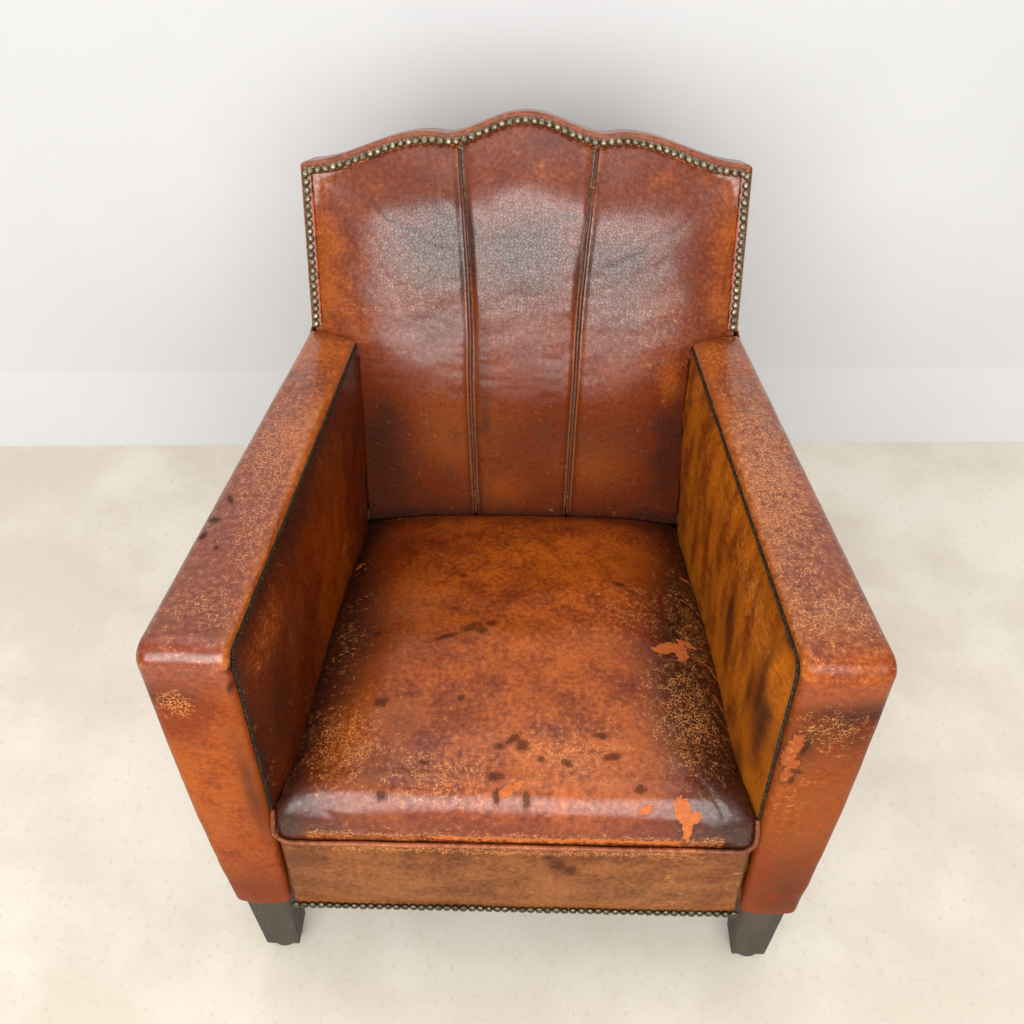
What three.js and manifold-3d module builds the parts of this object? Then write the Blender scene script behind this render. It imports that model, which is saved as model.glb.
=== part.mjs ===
// A club chair in worn sheepskin leather: beech frame, sprung and stuffed seat, back and arms.
// Millimetres, +Z up. The chair faces -Y, and "left" is the -X side, as seen by someone facing it.
// While it is built, y is 0 at the arms' front face and grows towards the back. At the end the
// whole chair is moved along y, so that its origin is the middle of its box on the floor.
import * as THREE from "three";
import { mergeVertices } from "three/addons/utils/BufferGeometryUtils.js";
import Module from "manifold-3d";

const wasm = await Module();
wasm.setup();

// Driving dimensions.
const BODY_BOTTOM = 157; // underside of the leather body
const LEATHER = 2; // sheepskin with its lining
const GAP = 0.4; // running gap between pieces that lie on each other
const ARM_TOP_FRONT = 638; // top of the arm at its front
const ARM_FALL = 27; // how far the arm top falls towards the back
const ARM_LENGTH = 612; // from the arm's front face to the back's face
const ARM_ROLL = 25; // radius where the arm top turns down its front
const SEAM_DROP = 13; // the stitched seam lies this far below the arm top
const BACK_Y = 618; // the back's face plane at arm level
const BACK_Z = 611;
const BACK_RAKE = THREE.MathUtils.degToRad(18.6);
const BACK_HALF = 299; // half the back's width
const BACK_CORNER = 224; // height of the back's corners above arm level, along the face
const BACK_THICK = 72;
const LOWER_BACK_HALF = 228; // half the width of the back between the arms
const SEAT_REAR = 352; // leather height at the back of the seat
const SEAT_CROWN = 398; // and at its highest
const SEAT_FRONT = 384; // and where the front roll begins
const SEAT_ROLL = 48; // depth of the front roll
const WELT_Z = 309; // the welt between the seat and its front border
const SEAT_LOWEST = WELT_Z + 7; // the seat leather starts here, just over the welt
const FOOT_TOP = 56; // the feet taper from this square
const FOOT_BOTTOM = 45; // to this one
const GLIDE_HIGH = 13;
const RAIL_BOTTOM = 161;
const NAIL_PITCH = 10.5;

const { sin, cos, tan, sqrt, max, min, abs, PI } = Math;
const clip = (value) => min(1, max(0, value));
const rise = (value) => sin((PI / 2) * clip(value)); // a quick start that levels off at 1
const steps = (from, to, count) =>
  Array.from({ length: count + 1 }, (_, i) => from + ((to - from) * i) / count);
const point = (x, y, z) => new THREE.Vector3(x, y, z);

const finishes = {
  leather: { color: 0x8c4a25, roughness: 0.42, metalness: 0 },
  piping: { color: 0x4a2413, roughness: 0.5, metalness: 0 },
  stuffing: { color: 0x6f6455, roughness: 0.95, metalness: 0 },
  canvas: { color: 0xb7a583, roughness: 0.9, metalness: 0 },
  webbing: { color: 0xa98f68, roughness: 0.9, metalness: 0 },
  beech: { color: 0xc39a69, roughness: 0.7, metalness: 0 },
  stainedWood: { color: 0x4a4038, roughness: 0.55, metalness: 0 },
  springWire: { color: 0x6f7072, roughness: 0.4, metalness: 1 },
  nail: { color: 0x6b5a38, roughness: 0.45, metalness: 1 },
  glide: { color: 0x2b2a28, roughness: 0.6, metalness: 0 },
};
for (const [name, values] of Object.entries(finishes)) {
  finishes[name] = new THREE.MeshStandardMaterial({ name, ...values });
}

const chair = new THREE.Group();

function add(name, geometry, finish) {
  const mesh = new THREE.Mesh(geometry, finish);
  mesh.name = name;
  chair.add(mesh);
}

// Turns points and triangles into a geometry whose faces point outwards.
function closedBody(points, triangles) {
  let volume = 0;
  for (let i = 0; i < triangles.length; i += 3) {
    const [a, b, c] = [points[triangles[i]], points[triangles[i + 1]], points[triangles[i + 2]]];
    volume += a.dot(b.clone().cross(c));
  }
  if (volume < 0) {
    triangles.reverse();
  }
  const geometry = new THREE.BufferGeometry().setFromPoints(points);
  geometry.setIndex(triangles);
  geometry.computeVertexNormals();
  return geometry;
}

// A closed body between two grids of points: the grids are its two faces, and their rims are joined.
function between(faceGrid, backGrid) {
  const rows = faceGrid.length;
  const columns = faceGrid[0].length;
  const back = rows * columns;
  const triangles = [];
  const quad = (a, b, c, d) => triangles.push(a, b, c, a, c, d);
  const at = (i, j) => i * columns + j;
  for (let i = 0; i + 1 < rows; i++) {
    for (let j = 0; j + 1 < columns; j++) {
      quad(at(i, j), at(i + 1, j), at(i + 1, j + 1), at(i, j + 1));
      quad(back + at(i, j), back + at(i, j + 1), back + at(i + 1, j + 1), back + at(i + 1, j));
    }
    const last = columns - 1;
    quad(at(i, 0), back + at(i, 0), back + at(i + 1, 0), at(i + 1, 0));
    quad(at(i + 1, last), back + at(i + 1, last), back + at(i, last), at(i, last));
  }
  for (let j = 0; j + 1 < columns; j++) {
    const last = rows - 1;
    quad(at(0, j + 1), back + at(0, j + 1), back + at(0, j), at(0, j));
    quad(at(last, j), back + at(last, j), back + at(last, j + 1), at(last, j + 1));
  }
  return closedBody([...faceGrid.flat(), ...backGrid.flat()], triangles);
}

// The grid moved towards an inner point, square to its own surface.
function inset(grid, distance, inside) {
  return grid.map((row, i) =>
    row.map((p, j) => {
      const along = grid[min(i + 1, grid.length - 1)][j].clone().sub(grid[max(i - 1, 0)][j]);
      const across = row[min(j + 1, row.length - 1)].clone().sub(row[max(j - 1, 0)]);
      const normal = along.cross(across).normalize();
      if (normal.dot(inside.clone().sub(p)) < 0) {
        normal.negate();
      }
      return p.clone().addScaledVector(normal, distance);
    }),
  );
}

const skin = (grid, inside) => between(grid, inset(grid, LEATHER, inside));

// A three.js shape's geometry with its shared points merged, so that it is one closed body.
function welded(geometry) {
  return mergeVertices(geometry.deleteAttribute("normal").deleteAttribute("uv"), 0.01);
}

// A closed body through rings of points, capped at both ends.
function throughRings(rings) {
  const size = rings[0].length;
  const points = rings.flat();
  const triangles = [];
  for (let i = 0; i + 1 < rings.length; i++) {
    for (let j = 0; j < size; j++) {
      const [a, b] = [i * size + j, i * size + ((j + 1) % size)];
      triangles.push(a, b, b + size, a, b + size, a + size);
    }
  }
  for (const [ring, start, turned] of [[rings[0], 0, true], [rings.at(-1), points.length - size, false]]) {
    const middle = points.length;
    points.push(ring.reduce((sum, p) => sum.add(p), point(0, 0, 0)).divideScalar(size));
    for (let j = 0; j < size; j++) {
      const [a, b] = [start + j, start + ((j + 1) % size)];
      triangles.push(...(turned ? [middle, b, a] : [middle, a, b]));
    }
  }
  return closedBody(points, triangles);
}

// A six-faced block from its bottom and top corners, each four in order round the block.
const block = (bottom, top) => throughRings([bottom, top]);

function upright(x0, x1, y0, y1, z0, z1) {
  const ring = (z) => [point(x0, y0, z), point(x1, y0, z), point(x1, y1, z), point(x0, y1, z)];
  return block(ring(z0), ring(z1));
}

function mirrored(geometry) {
  const copy = geometry.clone();
  copy.scale(-1, 1, 1);
  const index = Array.from(copy.index.array).reverse();
  copy.setIndex(index);
  copy.computeVertexNormals();
  return copy;
}

function addPair(name, rightGeometry, finish) {
  add("left_" + name, mirrored(rightGeometry), finish);
  add("right_" + name, rightGeometry, finish);
}

// A cord or wire of even section along a list of points.
function cord(points, radius, sides, count) {
  const outline = new THREE.Shape(
    Array.from({ length: sides }, (_, i) => {
      const angle = (2 * PI * i) / sides;
      return new THREE.Vector2(radius * cos(angle), radius * sin(angle));
    }),
  );
  const path = new THREE.CatmullRomCurve3(points);
  return new THREE.ExtrudeGeometry(outline, { steps: count, extrudePath: path });
}

// ---- The shape of the arms, for the right arm (x above 0) ----

const armTop = (y) => ARM_TOP_FRONT - (ARM_FALL * y) / BACK_Y;
const rollCentreZ = armTop(ARM_ROLL) - ARM_ROLL;
// The stitched seam along the arm's inner top edge: the arms spread towards the front.
const seamX = (y) => 274 - 0.0654 * (y - 7);
// The arm's outer side: it spreads towards the front and draws in towards the floor.
const outerX = (y, z) => 304 + 63 * (1 - y / BACK_Y) - 12 * max(0, (487 - z) / 330) ** 2;
// The inner edge of the arm's front face.
const frontInnerX = (z) => 275 + 7 * clip((rollCentreZ - z) / (rollCentreZ - BODY_BOTTOM)) ** 1.2;
// How high the inside arm reaches before the seam, which follows the roll at the front.
function insideArmTop(y) {
  const reach = 110; // the square of how far the leather runs up from the roll's centre
  return y < ARM_ROLL ? rollCentreZ + sqrt(max(0, reach - (ARM_ROLL - y) ** 2)) : armTop(y) - 14.5;
}
// The stuffed inner face of the arm.
function insideArmX(y, z) {
  const edge = seamX(y) + 7 * clip((rollCentreZ - z) / (rollCentreZ - BODY_BOTTOM)) ** 1.2 * (1 - y / BACK_Y);
  const stuffing = (9 - (3 * y) / BACK_Y) * rise((y - 12) / 45) * rise((insideArmTop(y) - z) / 60);
  return edge - stuffing;
}

// ---- The shape of the back, in its own raked plane: x across, s up the face, n out of the face ----

function backPoint(x, s, n) {
  const y = BACK_Y + s * sin(BACK_RAKE) - n * cos(BACK_RAKE);
  const z = BACK_Z + s * cos(BACK_RAKE) + n * sin(BACK_RAKE);
  return point(x, y, z);
}
// The four corners of a bar's section that lies across the back, between two faces of it.
const backBar = (x0, x1, s, front, rear) => [
  backPoint(x0, s, front),
  backPoint(x1, s, front),
  backPoint(x1, s, rear),
  backPoint(x0, s, rear),
];
const faceY = (z) => BACK_Y + (z - BACK_Z) * tan(BACK_RAKE);
const behindFaceY = (z, depth) => faceY(z) + depth / cos(BACK_RAKE);
// The top edge: two low side lobes and a taller middle one.
function backTop(x) {
  const across = abs(x);
  if (across < 103) {
    return 260.5 + 27.5 * cos((PI * across) / 206) ** 1.7;
  }
  if (across < 128) {
    return 260.5 + 2.5 * sin((PI / 2) * ((across - 103) / 25)) ** 2;
  }
  return BACK_CORNER + 39 * cos((PI / 2) * min(1, (across - 128) / 171)) ** 2;
}
// How far the stuffing stands out of the face plane.
function backSwell(x, s) {
  const sides = 1 - min(1, abs(x) / 284) ** 4;
  const top = rise((backTop(x) - 15 - s) / 110);
  const bottom = 0.35 + 0.65 * rise((s + 290) / 130);
  return 28 * sides * top * bottom;
}
// The pipings close in towards the seat.
const pipingX = (s) => 74 + 17.5 * max(0, (s + 20) / 272) ** 1.5 - 6 * clip((-s - 60) / 190);

// ---- The shape of the seat ----

const seatHalf = (y) => seamX(y) - 8.5;
function seatProfile(y) {
  if (y > 220) {
    return SEAT_REAR + (SEAT_CROWN - SEAT_REAR) * rise((520 - y) / 300);
  }
  if (y > 45) {
    return SEAT_CROWN - (SEAT_CROWN - SEAT_FRONT) * ((220 - y) / 175) ** 2;
  }
  return SEAT_LOWEST + (SEAT_FRONT - SEAT_LOWEST) * sqrt(max(0, 1 - ((45 - y) / SEAT_ROLL) ** 2));
}
function seatPoint(across, y) {
  const profile = seatProfile(y);
  const drop = (10 * across ** 2 + 22 * abs(across) ** 7) * clip((profile - WELT_Z) / 70);
  return point(across * seatHalf(y), y, profile - drop);
}

// ---- Beech frame ----

function frontRail() {
  add("front_rail", upright(-296.5, 296.5, 14.5, 42, RAIL_BOTTOM, 245), finishes.beech);
}

function rearRail() {
  const ring = (z) => [
    point(-249, behindFaceY(z, 38), z),
    point(249, behindFaceY(z, 38), z),
    point(249, behindFaceY(z, 66), z),
    point(-249, behindFaceY(z, 66), z),
  ];
  add("rear_rail", block(ring(RAIL_BOTTOM), ring(RAIL_BOTTOM + 75)), finishes.beech);
}

function sideRails() {
  const ring = (z) => [
    point(outerX(50, z) - 31, 50, z),
    point(outerX(50, z) - 5, 50, z),
    point(outerX(486, z) - 5, 486, z),
    point(outerX(486, z) - 31, 486, z),
  ];
  addPair("side_rail", block(ring(RAIL_BOTTOM), ring(RAIL_BOTTOM + 75)), finishes.beech);
}

function posts() {
  const front = (z) => [
    point(297, 4, z),
    point(outerX(4, z) - 11, 4, z),
    point(outerX(10, z) - 5, 10, z),
    point(outerX(49, z) - 5, 49, z),
    point(297, 49, z),
  ];
  addPair("front_post", throughRings([159, 320, 487, 599].map(front)), finishes.beech);

  const foot = [27.5, 68].map((depth) => behindFaceY(159, depth));
  const [inner, outer, low] = [250, 292, 159];
  const bottom = [
    point(inner, foot[0], low),
    point(outer, foot[0], low),
    point(outer, foot[1], low),
    point(inner, foot[1], low),
  ];
  const top = backBar(inner, outer, 196, -27.5, -68);
  addPair("rear_post", block(bottom, top), finishes.beech);
}

function armBoards() {
  const ring = (y) => {
    const top = armTop(y) - 14;
    const [inner, outer] = [seamX(y) + 17, outerX(y, top) - 5];
    return [point(inner, y, top - 22), point(outer, y, top - 22), point(outer, y, top), point(inner, y, top)];
  };
  addPair("arm_board", block(ring(28), ring(631)), finishes.beech);
}

function armTackRails() {
  const ring = (y) => {
    const inner = insideArmX(y, 283) + 16;
    return [point(inner, y, 268), point(inner + 22, y, 268), point(inner + 22, y, 298), point(inner, y, 298)];
  };
  addPair("arm_tack_rail", throughRings([54, 120, 300, 524].map(ring)), finishes.beech);
}

function backRails() {
  // The crest rail is sawn to the three lobes of the top edge.
  const outline = new THREE.Shape();
  const reach = BACK_HALF - 5;
  outline.moveTo(-reach, 198);
  outline.lineTo(reach, 198);
  for (const x of steps(reach, -reach, 28)) {
    outline.lineTo(x, backTop(x) - 5);
  }
  const crest = new THREE.ExtrudeGeometry(outline, { depth: 40.5, bevelEnabled: false });
  const across = point(1, 0, 0);
  const up = point(0, sin(BACK_RAKE), cos(BACK_RAKE));
  const placed = new THREE.Matrix4().makeBasis(across, up, across.clone().cross(up));
  placed.setPosition(backPoint(0, 0, -68));
  crest.applyMatrix4(placed);
  add("crest_rail", crest, finishes.beech);

  const railEnd = (s) => backBar(-249, 249, s, -28, -60);
  add("lower_back_rail", block(railEnd(-330), railEnd(-290)), finishes.beech);
}

function cornerBlocks() {
  const outline = new THREE.Shape([
    new THREE.Vector2(232, 43),
    new THREE.Vector2(296, 43),
    new THREE.Vector2(296, 50.5),
    new THREE.Vector2(314, 50.5),
    new THREE.Vector2(310, 108),
  ]);
  const geometry = new THREE.ExtrudeGeometry(outline, { depth: 50, bevelEnabled: false });
  geometry.translate(0, 0, 166);
  addPair("corner_block", welded(geometry), finishes.beech);
}

// ---- Feet and glides ----

function feet() {
  const [topHalf, bottomHalf] = [FOOT_TOP / 2, FOOT_BOTTOM / 2];
  const places = { front: [315.5, 34, 158.6], rear: [270, 516, 156.6] };
  for (const [where, [x, y, top]] of Object.entries(places)) {
    const ring = (half, z) => [
      point(x - half, y - half, z),
      point(x + half, y - half, z),
      point(x + half, y + half, z),
      point(x - half, y + half, z),
    ];
    addPair(where + "_foot", block(ring(bottomHalf, GLIDE_HIGH), ring(topHalf, top)), finishes.stainedWood);

    const profile = [[0, 0], [13, 0], [18, 3], [20, 7], [20, GLIDE_HIGH - GAP], [0, GLIDE_HIGH - GAP]];
    const glide = new THREE.LatheGeometry(profile.map(([r, h]) => new THREE.Vector2(r, h)), 16);
    glide.rotateX(PI / 2);
    glide.translate(x, y - 2, 0);
    addPair(where + "_glide", welded(glide), finishes.glide);
  }
}

// ---- Webbing, springs and stuffing ----

function joined(geometries) {
  const solids = geometries.map((geometry) => {
    const bare = mergeVertices(geometry.clone().deleteAttribute("normal"));
    const vertProperties = bare.attributes.position.array;
    const triVerts = new Uint32Array(bare.index.array);
    return new wasm.Manifold(new wasm.Mesh({ numProp: 3, vertProperties, triVerts }));
  });
  const mesh = solids.reduce((whole, solid) => whole.add(solid)).getMesh();
  const geometry = new THREE.BufferGeometry();
  geometry.setAttribute("position", new THREE.BufferAttribute(mesh.vertProperties, 3));
  geometry.setIndex(new THREE.BufferAttribute(mesh.triVerts, 1));
  geometry.computeVertexNormals();
  return geometry;
}

function webbing() {
  const half = 25; // half the width of a strap
  const seatStraps = [-180, -60, 60, 180].map((x) => upright(x - half, x + half, 12, 528, 158.6, 160.6));
  for (const y of [110, 215, 320, 425]) {
    const reach = outerX(y, BODY_BOTTOM) - 12;
    seatStraps.push(upright(-reach, reach, y - half, y + half, 158.6, 160.6));
  }
  add("seat_webbing", joined(seatStraps), finishes.webbing);

  const strap = (x0, x1, s0, s1) => {
    const ring = (s) => backBar(x0, x1, s, -25.4, -27.1);
    return block(ring(s0), ring(s1));
  };
  const backStraps = [-150, 0, 150].map((x) => strap(x - half, x + half, -326, 225));
  for (const s of [-190, -60, 70, 170]) {
    backStraps.push(strap(-286, 286, s - half, s + half));
  }
  add("back_webbing", joined(backStraps), finishes.webbing);
}

class Coil extends THREE.Curve {
  constructor(x, y, bottom, top) {
    super();
    Object.assign(this, { x, y, bottom, top });
  }
  getPoint(t, target = new THREE.Vector3()) {
    const turns = 4;
    const radius = 32 + 14 * (2 * t - 1) ** 2; // waisted, like an hourglass
    const angle = 2 * PI * turns * t;
    const z = this.bottom + (this.top - this.bottom) * t;
    return target.set(this.x + radius * cos(angle), this.y + radius * sin(angle), z);
  }
}

function springs() {
  const wire = new THREE.Shape([[2, 0], [0, 2], [-2, 0], [0, -2]].map(([x, y]) => new THREE.Vector2(x, y)));
  const rows = { front: 125, middle: 265, rear: 405 };
  const columns = { left: -140, centre: 0, right: 140 };
  for (const [row, y] of Object.entries(rows)) {
    for (const [column, x] of Object.entries(columns)) {
      const path = new Coil(x, y, 163.5, 286);
      const geometry = new THREE.ExtrudeGeometry(wire, { steps: 36, extrudePath: path });
      add("spring_" + row + "_" + column, geometry, finishes.springWire);
    }
  }
  add("spring_cover", upright(-222, 222, 55, 492, 289, 290.5), finishes.canvas);
}

// Rows of the seat, closer together over the front roll.
const SEAT_ROWS = [-3, -1, 4, 14, 28, 45, 52, 110, 180, 260, 340, 420, 480, 514];
const seatRow = (y) => steps(-1, 1, 12).map((across) => seatPoint(sin((PI / 2) * across), y));
const seatGrid = () => SEAT_ROWS.map(seatRow);
const SEAT_INSIDE = point(0, 250, 200);

function seatPad() {
  const top = inset(seatGrid(), LEATHER + GAP, SEAT_INSIDE);
  const narrowed = top.map((row) => row.map((p) => point(p.x * 0.985, min(p.y, 512), p.z)));
  // Its front edge hangs down behind the border, in front of the springs.
  const bottom = narrowed.map((row, i) => {
    const y = SEAT_ROWS[i];
    return row.map((p) => (y < 46 ? point(p.x, 6 + (y + 3) * 0.8, 246) : point(p.x, min(y, 512), 291.5)));
  });
  add("seat_pad", between(narrowed, bottom), finishes.stuffing);
}

// Places over the back's face: rows from the seat up, columns from one edge to the other.
function backGrid(rows, columns, edge, height) {
  return rows.map((row) =>
    columns.map((column) => {
      const narrow = LOWER_BACK_HALF - edge;
      const wide = BACK_HALF - 4 - edge;
      const x = column * (row < 0 ? narrow : wide);
      const s = row < 0 ? -290 * -row : 2 + edge + row * (backTop(x) - 6 - 2 * edge);
      return backPoint(x, s, height(x, s));
    }),
  );
}

const LOWER_ROWS = [-0.96, -0.8, -0.6, -0.4, -0.2, -0.01];
const UPPER_ROWS = [0, 0.2, 0.4, 0.6, 0.78, 0.9, 0.96, 1];

function backPad() {
  const half = [0.16, 0.33, 0.5, 0.67, 0.84, 0.975, 1];
  const columns = [...half.toReversed().map((column) => -column), 0, ...half];
  const rows = [...LOWER_ROWS.map((row) => row * 0.94), ...UPPER_ROWS];
  const face = backGrid(rows, columns, 3, (x, s) => backSwell(x, s) - 2.4);
  const rear = backGrid(rows, columns, 3, () => -25);
  add("back_pad", between(face, rear), finishes.stuffing);
}

// The stuffing of one arm: a slab on its inner side that turns over the board on top.
function armPads() {
  const lowest = 266;
  const ring = (along) => {
    const place = (z) => 18 + along * (min(faceY(z) - 8, 600) - 18);
    const topY = place(600);
    const rollDrop = ARM_ROLL - sqrt(ARM_ROLL ** 2 - max(0, ARM_ROLL - topY) ** 2);
    const top = armTop(topY) - rollDrop - LEATHER - GAP;
    const ledge = armTop(topY) - 13.6; // just above the board
    const inner = seamX(topY);
    const outer = outerX(topY, 600);
    const innerFace = (z) => point(insideArmX(place(z), z) + LEATHER + 1.2, place(z), z);
    const outerFace = (z) => point(insideArmX(place(z), z) + LEATHER + 13, place(z), z);
    return [
      innerFace(lowest),
      innerFace(380),
      innerFace(490),
      innerFace(560),
      innerFace(armTop(topY) - 17),
      point(inner + 5, topY, top - 7),
      point(inner + 12, topY, top - 1),
      point((inner + outer) / 2, topY, top),
      point(outer - 16, topY, top - 1),
      point(outer - 6, topY, top - 7),
      point(outer - 4, topY, ledge),
      point(inner + 15.5, topY, ledge),
      outerFace(560),
      outerFace(490),
      outerFace(380),
      outerFace(lowest),
    ];
  };
  const sections = [0, 0.02, 0.06, 0.14, 0.3, 0.5, 0.7, 0.88, 1].map(ring);
  const shown = sections.map((section) => section.slice(0, 8));
  const hidden = sections.map((section) => section.slice(8).reverse());
  addPair("arm_pad", between(shown, hidden), finishes.stuffing);
}

// ---- Leather ----

function seatLeather() {
  add("seat_leather", skin(seatGrid(), SEAT_INSIDE), finishes.leather);

  const upturned = [[271, 14, 349], [271, 4, 337], [271, -3, 324], [270.5, -5.5, 313.5]];
  const half = [...upturned, [262, -5.5, WELT_Z], [120, -5.2, WELT_Z]];
  const side = (sign) => half.map(([x, y, z]) => point(sign * x, y, z));
  const path = [...side(-1), ...side(1).reverse()];
  add("seat_welt", cord(path, 3, 6, 40), finishes.piping);

  const bottom = BODY_BOTTOM + 0.5;
  const top = WELT_Z - 4.2;
  const grid = steps(0, 1, 5).map((up) =>
    steps(-1, 1, 12).map((across) => {
      const z = bottom + (top - bottom) * up;
      const swell = 4 * sin(PI * up) * (1 - across ** 4);
      return point(across * (frontInnerX(z) - 1.5), -3 - swell, z);
    }),
  );
  add("front_border_leather", skin(grid, point(0, 100, 230)), finishes.leather);
}

function backLeather() {
  const rows = [...LOWER_ROWS, ...UPPER_ROWS];
  const panel = (from, to, columns) =>
    rows.map((row) =>
      columns.map((column) => {
        const level = row < 0 ? 290 * row : 0.5 + row * 240;
        const left = from(row, level);
        const right = to(row, level);
        const x = left + (right - left) * column;
        const s = row < 0 ? 290 * row : 2 + row * (backTop(x) - 6);
        return { x, s };
      }),
    );
  const leatherBody = (places) => {
    const face = places.map((row) => row.map(({ x, s }) => backPoint(x, s, backSwell(x, s) + LEATHER)));
    const rear = places.map((row) => row.map(({ x, s }) => backPoint(x, s, backSwell(x, s))));
    return between(face, rear);
  };
  const outerEdge = (row) => (row < 0 ? LOWER_BACK_HALF : BACK_HALF - 4);
  const pipingGap = 4.4;
  const seam = (row, s) => pipingX(s) + pipingGap;
  const sideColumns = [0, 0.15, 0.3, 0.45, 0.6, 0.75, 0.88, 0.96, 1];
  addPair("inside_back_leather", leatherBody(panel(seam, outerEdge, sideColumns)), finishes.leather);
  const innerEdge = (row, s) => pipingX(s) - pipingGap;
  const middle = panel((row, s) => -innerEdge(row, s), innerEdge, steps(0, 1, 5));
  add("centre_inside_back_leather", leatherBody(middle), finishes.leather);

  const piping = steps(-274, 236, 14).map((s) => backPoint(pipingX(s), s, backSwell(pipingX(s), s) + 2.4));
  const geometry = cord(piping, 2.6, 6, 22);
  addPair("back_piping", welded(geometry), finishes.piping);
}

// The outline of the back, from the right arm up, over the top and down to the left arm.
// Each place gives where it is when the outline is drawn in by some distance.
function backOutline(sideCount, topCount, lowest) {
  const side = (sign, up) => (drawnIn) => {
    const s = lowest + (BACK_CORNER - drawnIn - lowest) * up;
    return [sign * (BACK_HALF - drawnIn), s];
  };
  const top = (across) => (drawnIn) => {
    return [across * (BACK_HALF - drawnIn), backTop(across * BACK_HALF) - drawnIn];
  };
  return [
    ...steps(0, 1, sideCount).slice(0, -1).map((up) => side(1, up)),
    ...steps(1, -1, topCount).map(top),
    ...steps(1, 0, sideCount).slice(1).map((up) => side(-1, up)),
  ];
}

function backEdgeBand() {
  // Drawn-in distance and height over the face plane, from the cut edge round to the rear.
  const outside = [[12.5, 5.9], [5, 5.9], [1.5, 4], [0, -1], [0, -35], [0, -69.4]];
  const inside = [[12.5, 3.9], [5.5, 3.9], [3.2, 2.6], [2, -1.5], [2, -35], [2, -69.4]];
  const grid = (section) =>
    backOutline(3, 32, 3).map((place) =>
      section.map(([drawnIn, n]) => {
        const [x, s] = place(drawnIn);
        return backPoint(x, s, n);
      }),
    );
  add("back_edge_band", between(grid(outside), grid(inside)), finishes.leather);
}

function outsideBack() {
  const lowest = (BODY_BOTTOM + 0.3 - BACK_Z + BACK_THICK * sin(BACK_RAKE)) / cos(BACK_RAKE);
  const outline = new THREE.Shape();
  outline.moveTo(-BACK_HALF, lowest);
  outline.lineTo(BACK_HALF, lowest);
  for (const x of steps(BACK_HALF, -BACK_HALF, 36)) {
    outline.lineTo(x, backTop(x));
  }
  const panel = new THREE.ExtrudeGeometry(outline, { depth: LEATHER, bevelEnabled: false });
  const across = point(1, 0, 0);
  const up = point(0, sin(BACK_RAKE), cos(BACK_RAKE));
  const placed = new THREE.Matrix4().makeBasis(across, up, across.clone().cross(up));
  placed.setPosition(backPoint(0, 0, -BACK_THICK));
  panel.applyMatrix4(placed);
  add("outside_back_leather", panel, finishes.leather);
}

function insideArmLeather() {
  const rear = (z) => min(faceY(z) - 5, 606);
  const grid = [0, 0.02, 0.06, 0.14, 0.3, 0.5, 0.7, 0.88, 1].map((along) =>
    steps(0, 1, 8).map((up) => {
      const guessY = 14.5 + along * 590;
      const top = insideArmTop(guessY);
      const z = 262 + (top - 262) * sin((PI / 2) * up);
      const y = 14.5 + along * (rear(z) - 14.5);
      return point(insideArmX(y, z), y, min(z, insideArmTop(y)));
    }),
  );
  addPair("inside_arm_leather", skin(grid, point(900, 300, 400)), finishes.leather);
}

// One strip of leather runs along the arm top, over the roll and down the front.
function armStrips() {
  const stations = [];
  for (const y of [ARM_LENGTH, 540, 440, 320, 200, 100, 50]) {
    stations.push({ y, z: armTop(y), out: [0, 1], inner: seamX(y), outer: outerX(y, 600) });
  }
  for (const angle of steps(PI / 2, PI, 6)) {
    const out = [cos(angle), sin(angle)];
    const y = ARM_ROLL * (1 + out[0]);
    stations.push({ y, z: rollCentreZ + ARM_ROLL * out[1], out, inner: seamX(y), outer: outerX(y, 600) });
  }
  for (const z of steps(rollCentreZ, BODY_BOTTOM, 6).slice(1)) {
    stations.push({ y: 0, z, out: [-1, 0], inner: frontInnerX(z), outer: outerX(0, z) });
  }
  const grid = stations.map(({ y, z, out, inner, outer }) => {
    const section = [
      [inner, SEAM_DROP],
      [inner, 9],
      [inner + 2.6, 2.6],
      [inner + 9, 0],
      [(inner + outer) / 2, -1.5],
      [outer - 14, 0],
      [outer - 7, 1.9],
      [outer - 1.9, 7],
      [outer, 14],
      [outer, 18],
    ];
    return section.map(([x, depth]) => point(x, y - out[0] * depth, z - out[1] * depth));
  });
  const inner = stations.map(({ y, z, out, inner, outer }) => {
    const section = [
      [inner + 2, SEAM_DROP],
      [inner + 2, 9],
      [inner + 4, 4],
      [inner + 9, 2],
      [(inner + outer) / 2, 0.5],
      [outer - 14, 2],
      [outer - 8, 3.6],
      [outer - 3.6, 8],
      [outer - 2, 14],
      [outer - 2, 18],
    ];
    return section.map(([x, depth]) => point(x, y - out[0] * depth, z - out[1] * depth));
  });
  addPair("arm_strip_leather", between(grid, inner), finishes.leather);
}

function outsideArmLeather() {
  const rear = (z) => behindFaceY(z, BACK_THICK) - 3;
  // Just under the foot of the back's edge band.
  const bandFoot = (y) => BACK_Z + 2.6 - (y - BACK_Y + 4) * tan(BACK_RAKE);
  const grid = [0, 0.06, 0.25, 0.5, 0.75, 0.97, 1, 2, 3].map((along) =>
    steps(0, 1, 7).map((up) => {
      let y = 21 + min(along, 1) * (ARM_LENGTH - 21);
      let top = armTop(y) - 21;
      if (along > 1) {
        y = ARM_LENGTH + 1.2 + (along - 2) * (rear(590) - ARM_LENGTH - 1.2);
        top = bandFoot(y);
      }
      const z = BODY_BOTTOM + 0.3 + (top - BODY_BOTTOM - 0.3) * up;
      const slanted = 21 + ((y - 21) / (rear(590) - 21)) * (rear(z) - 21);
      const place = up === 1 ? y : slanted;
      return point(outerX(place, z), place, z);
    }),
  );
  addPair("outside_arm_leather", skin(grid, point(0, 300, 400)), finishes.leather);
}

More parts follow.
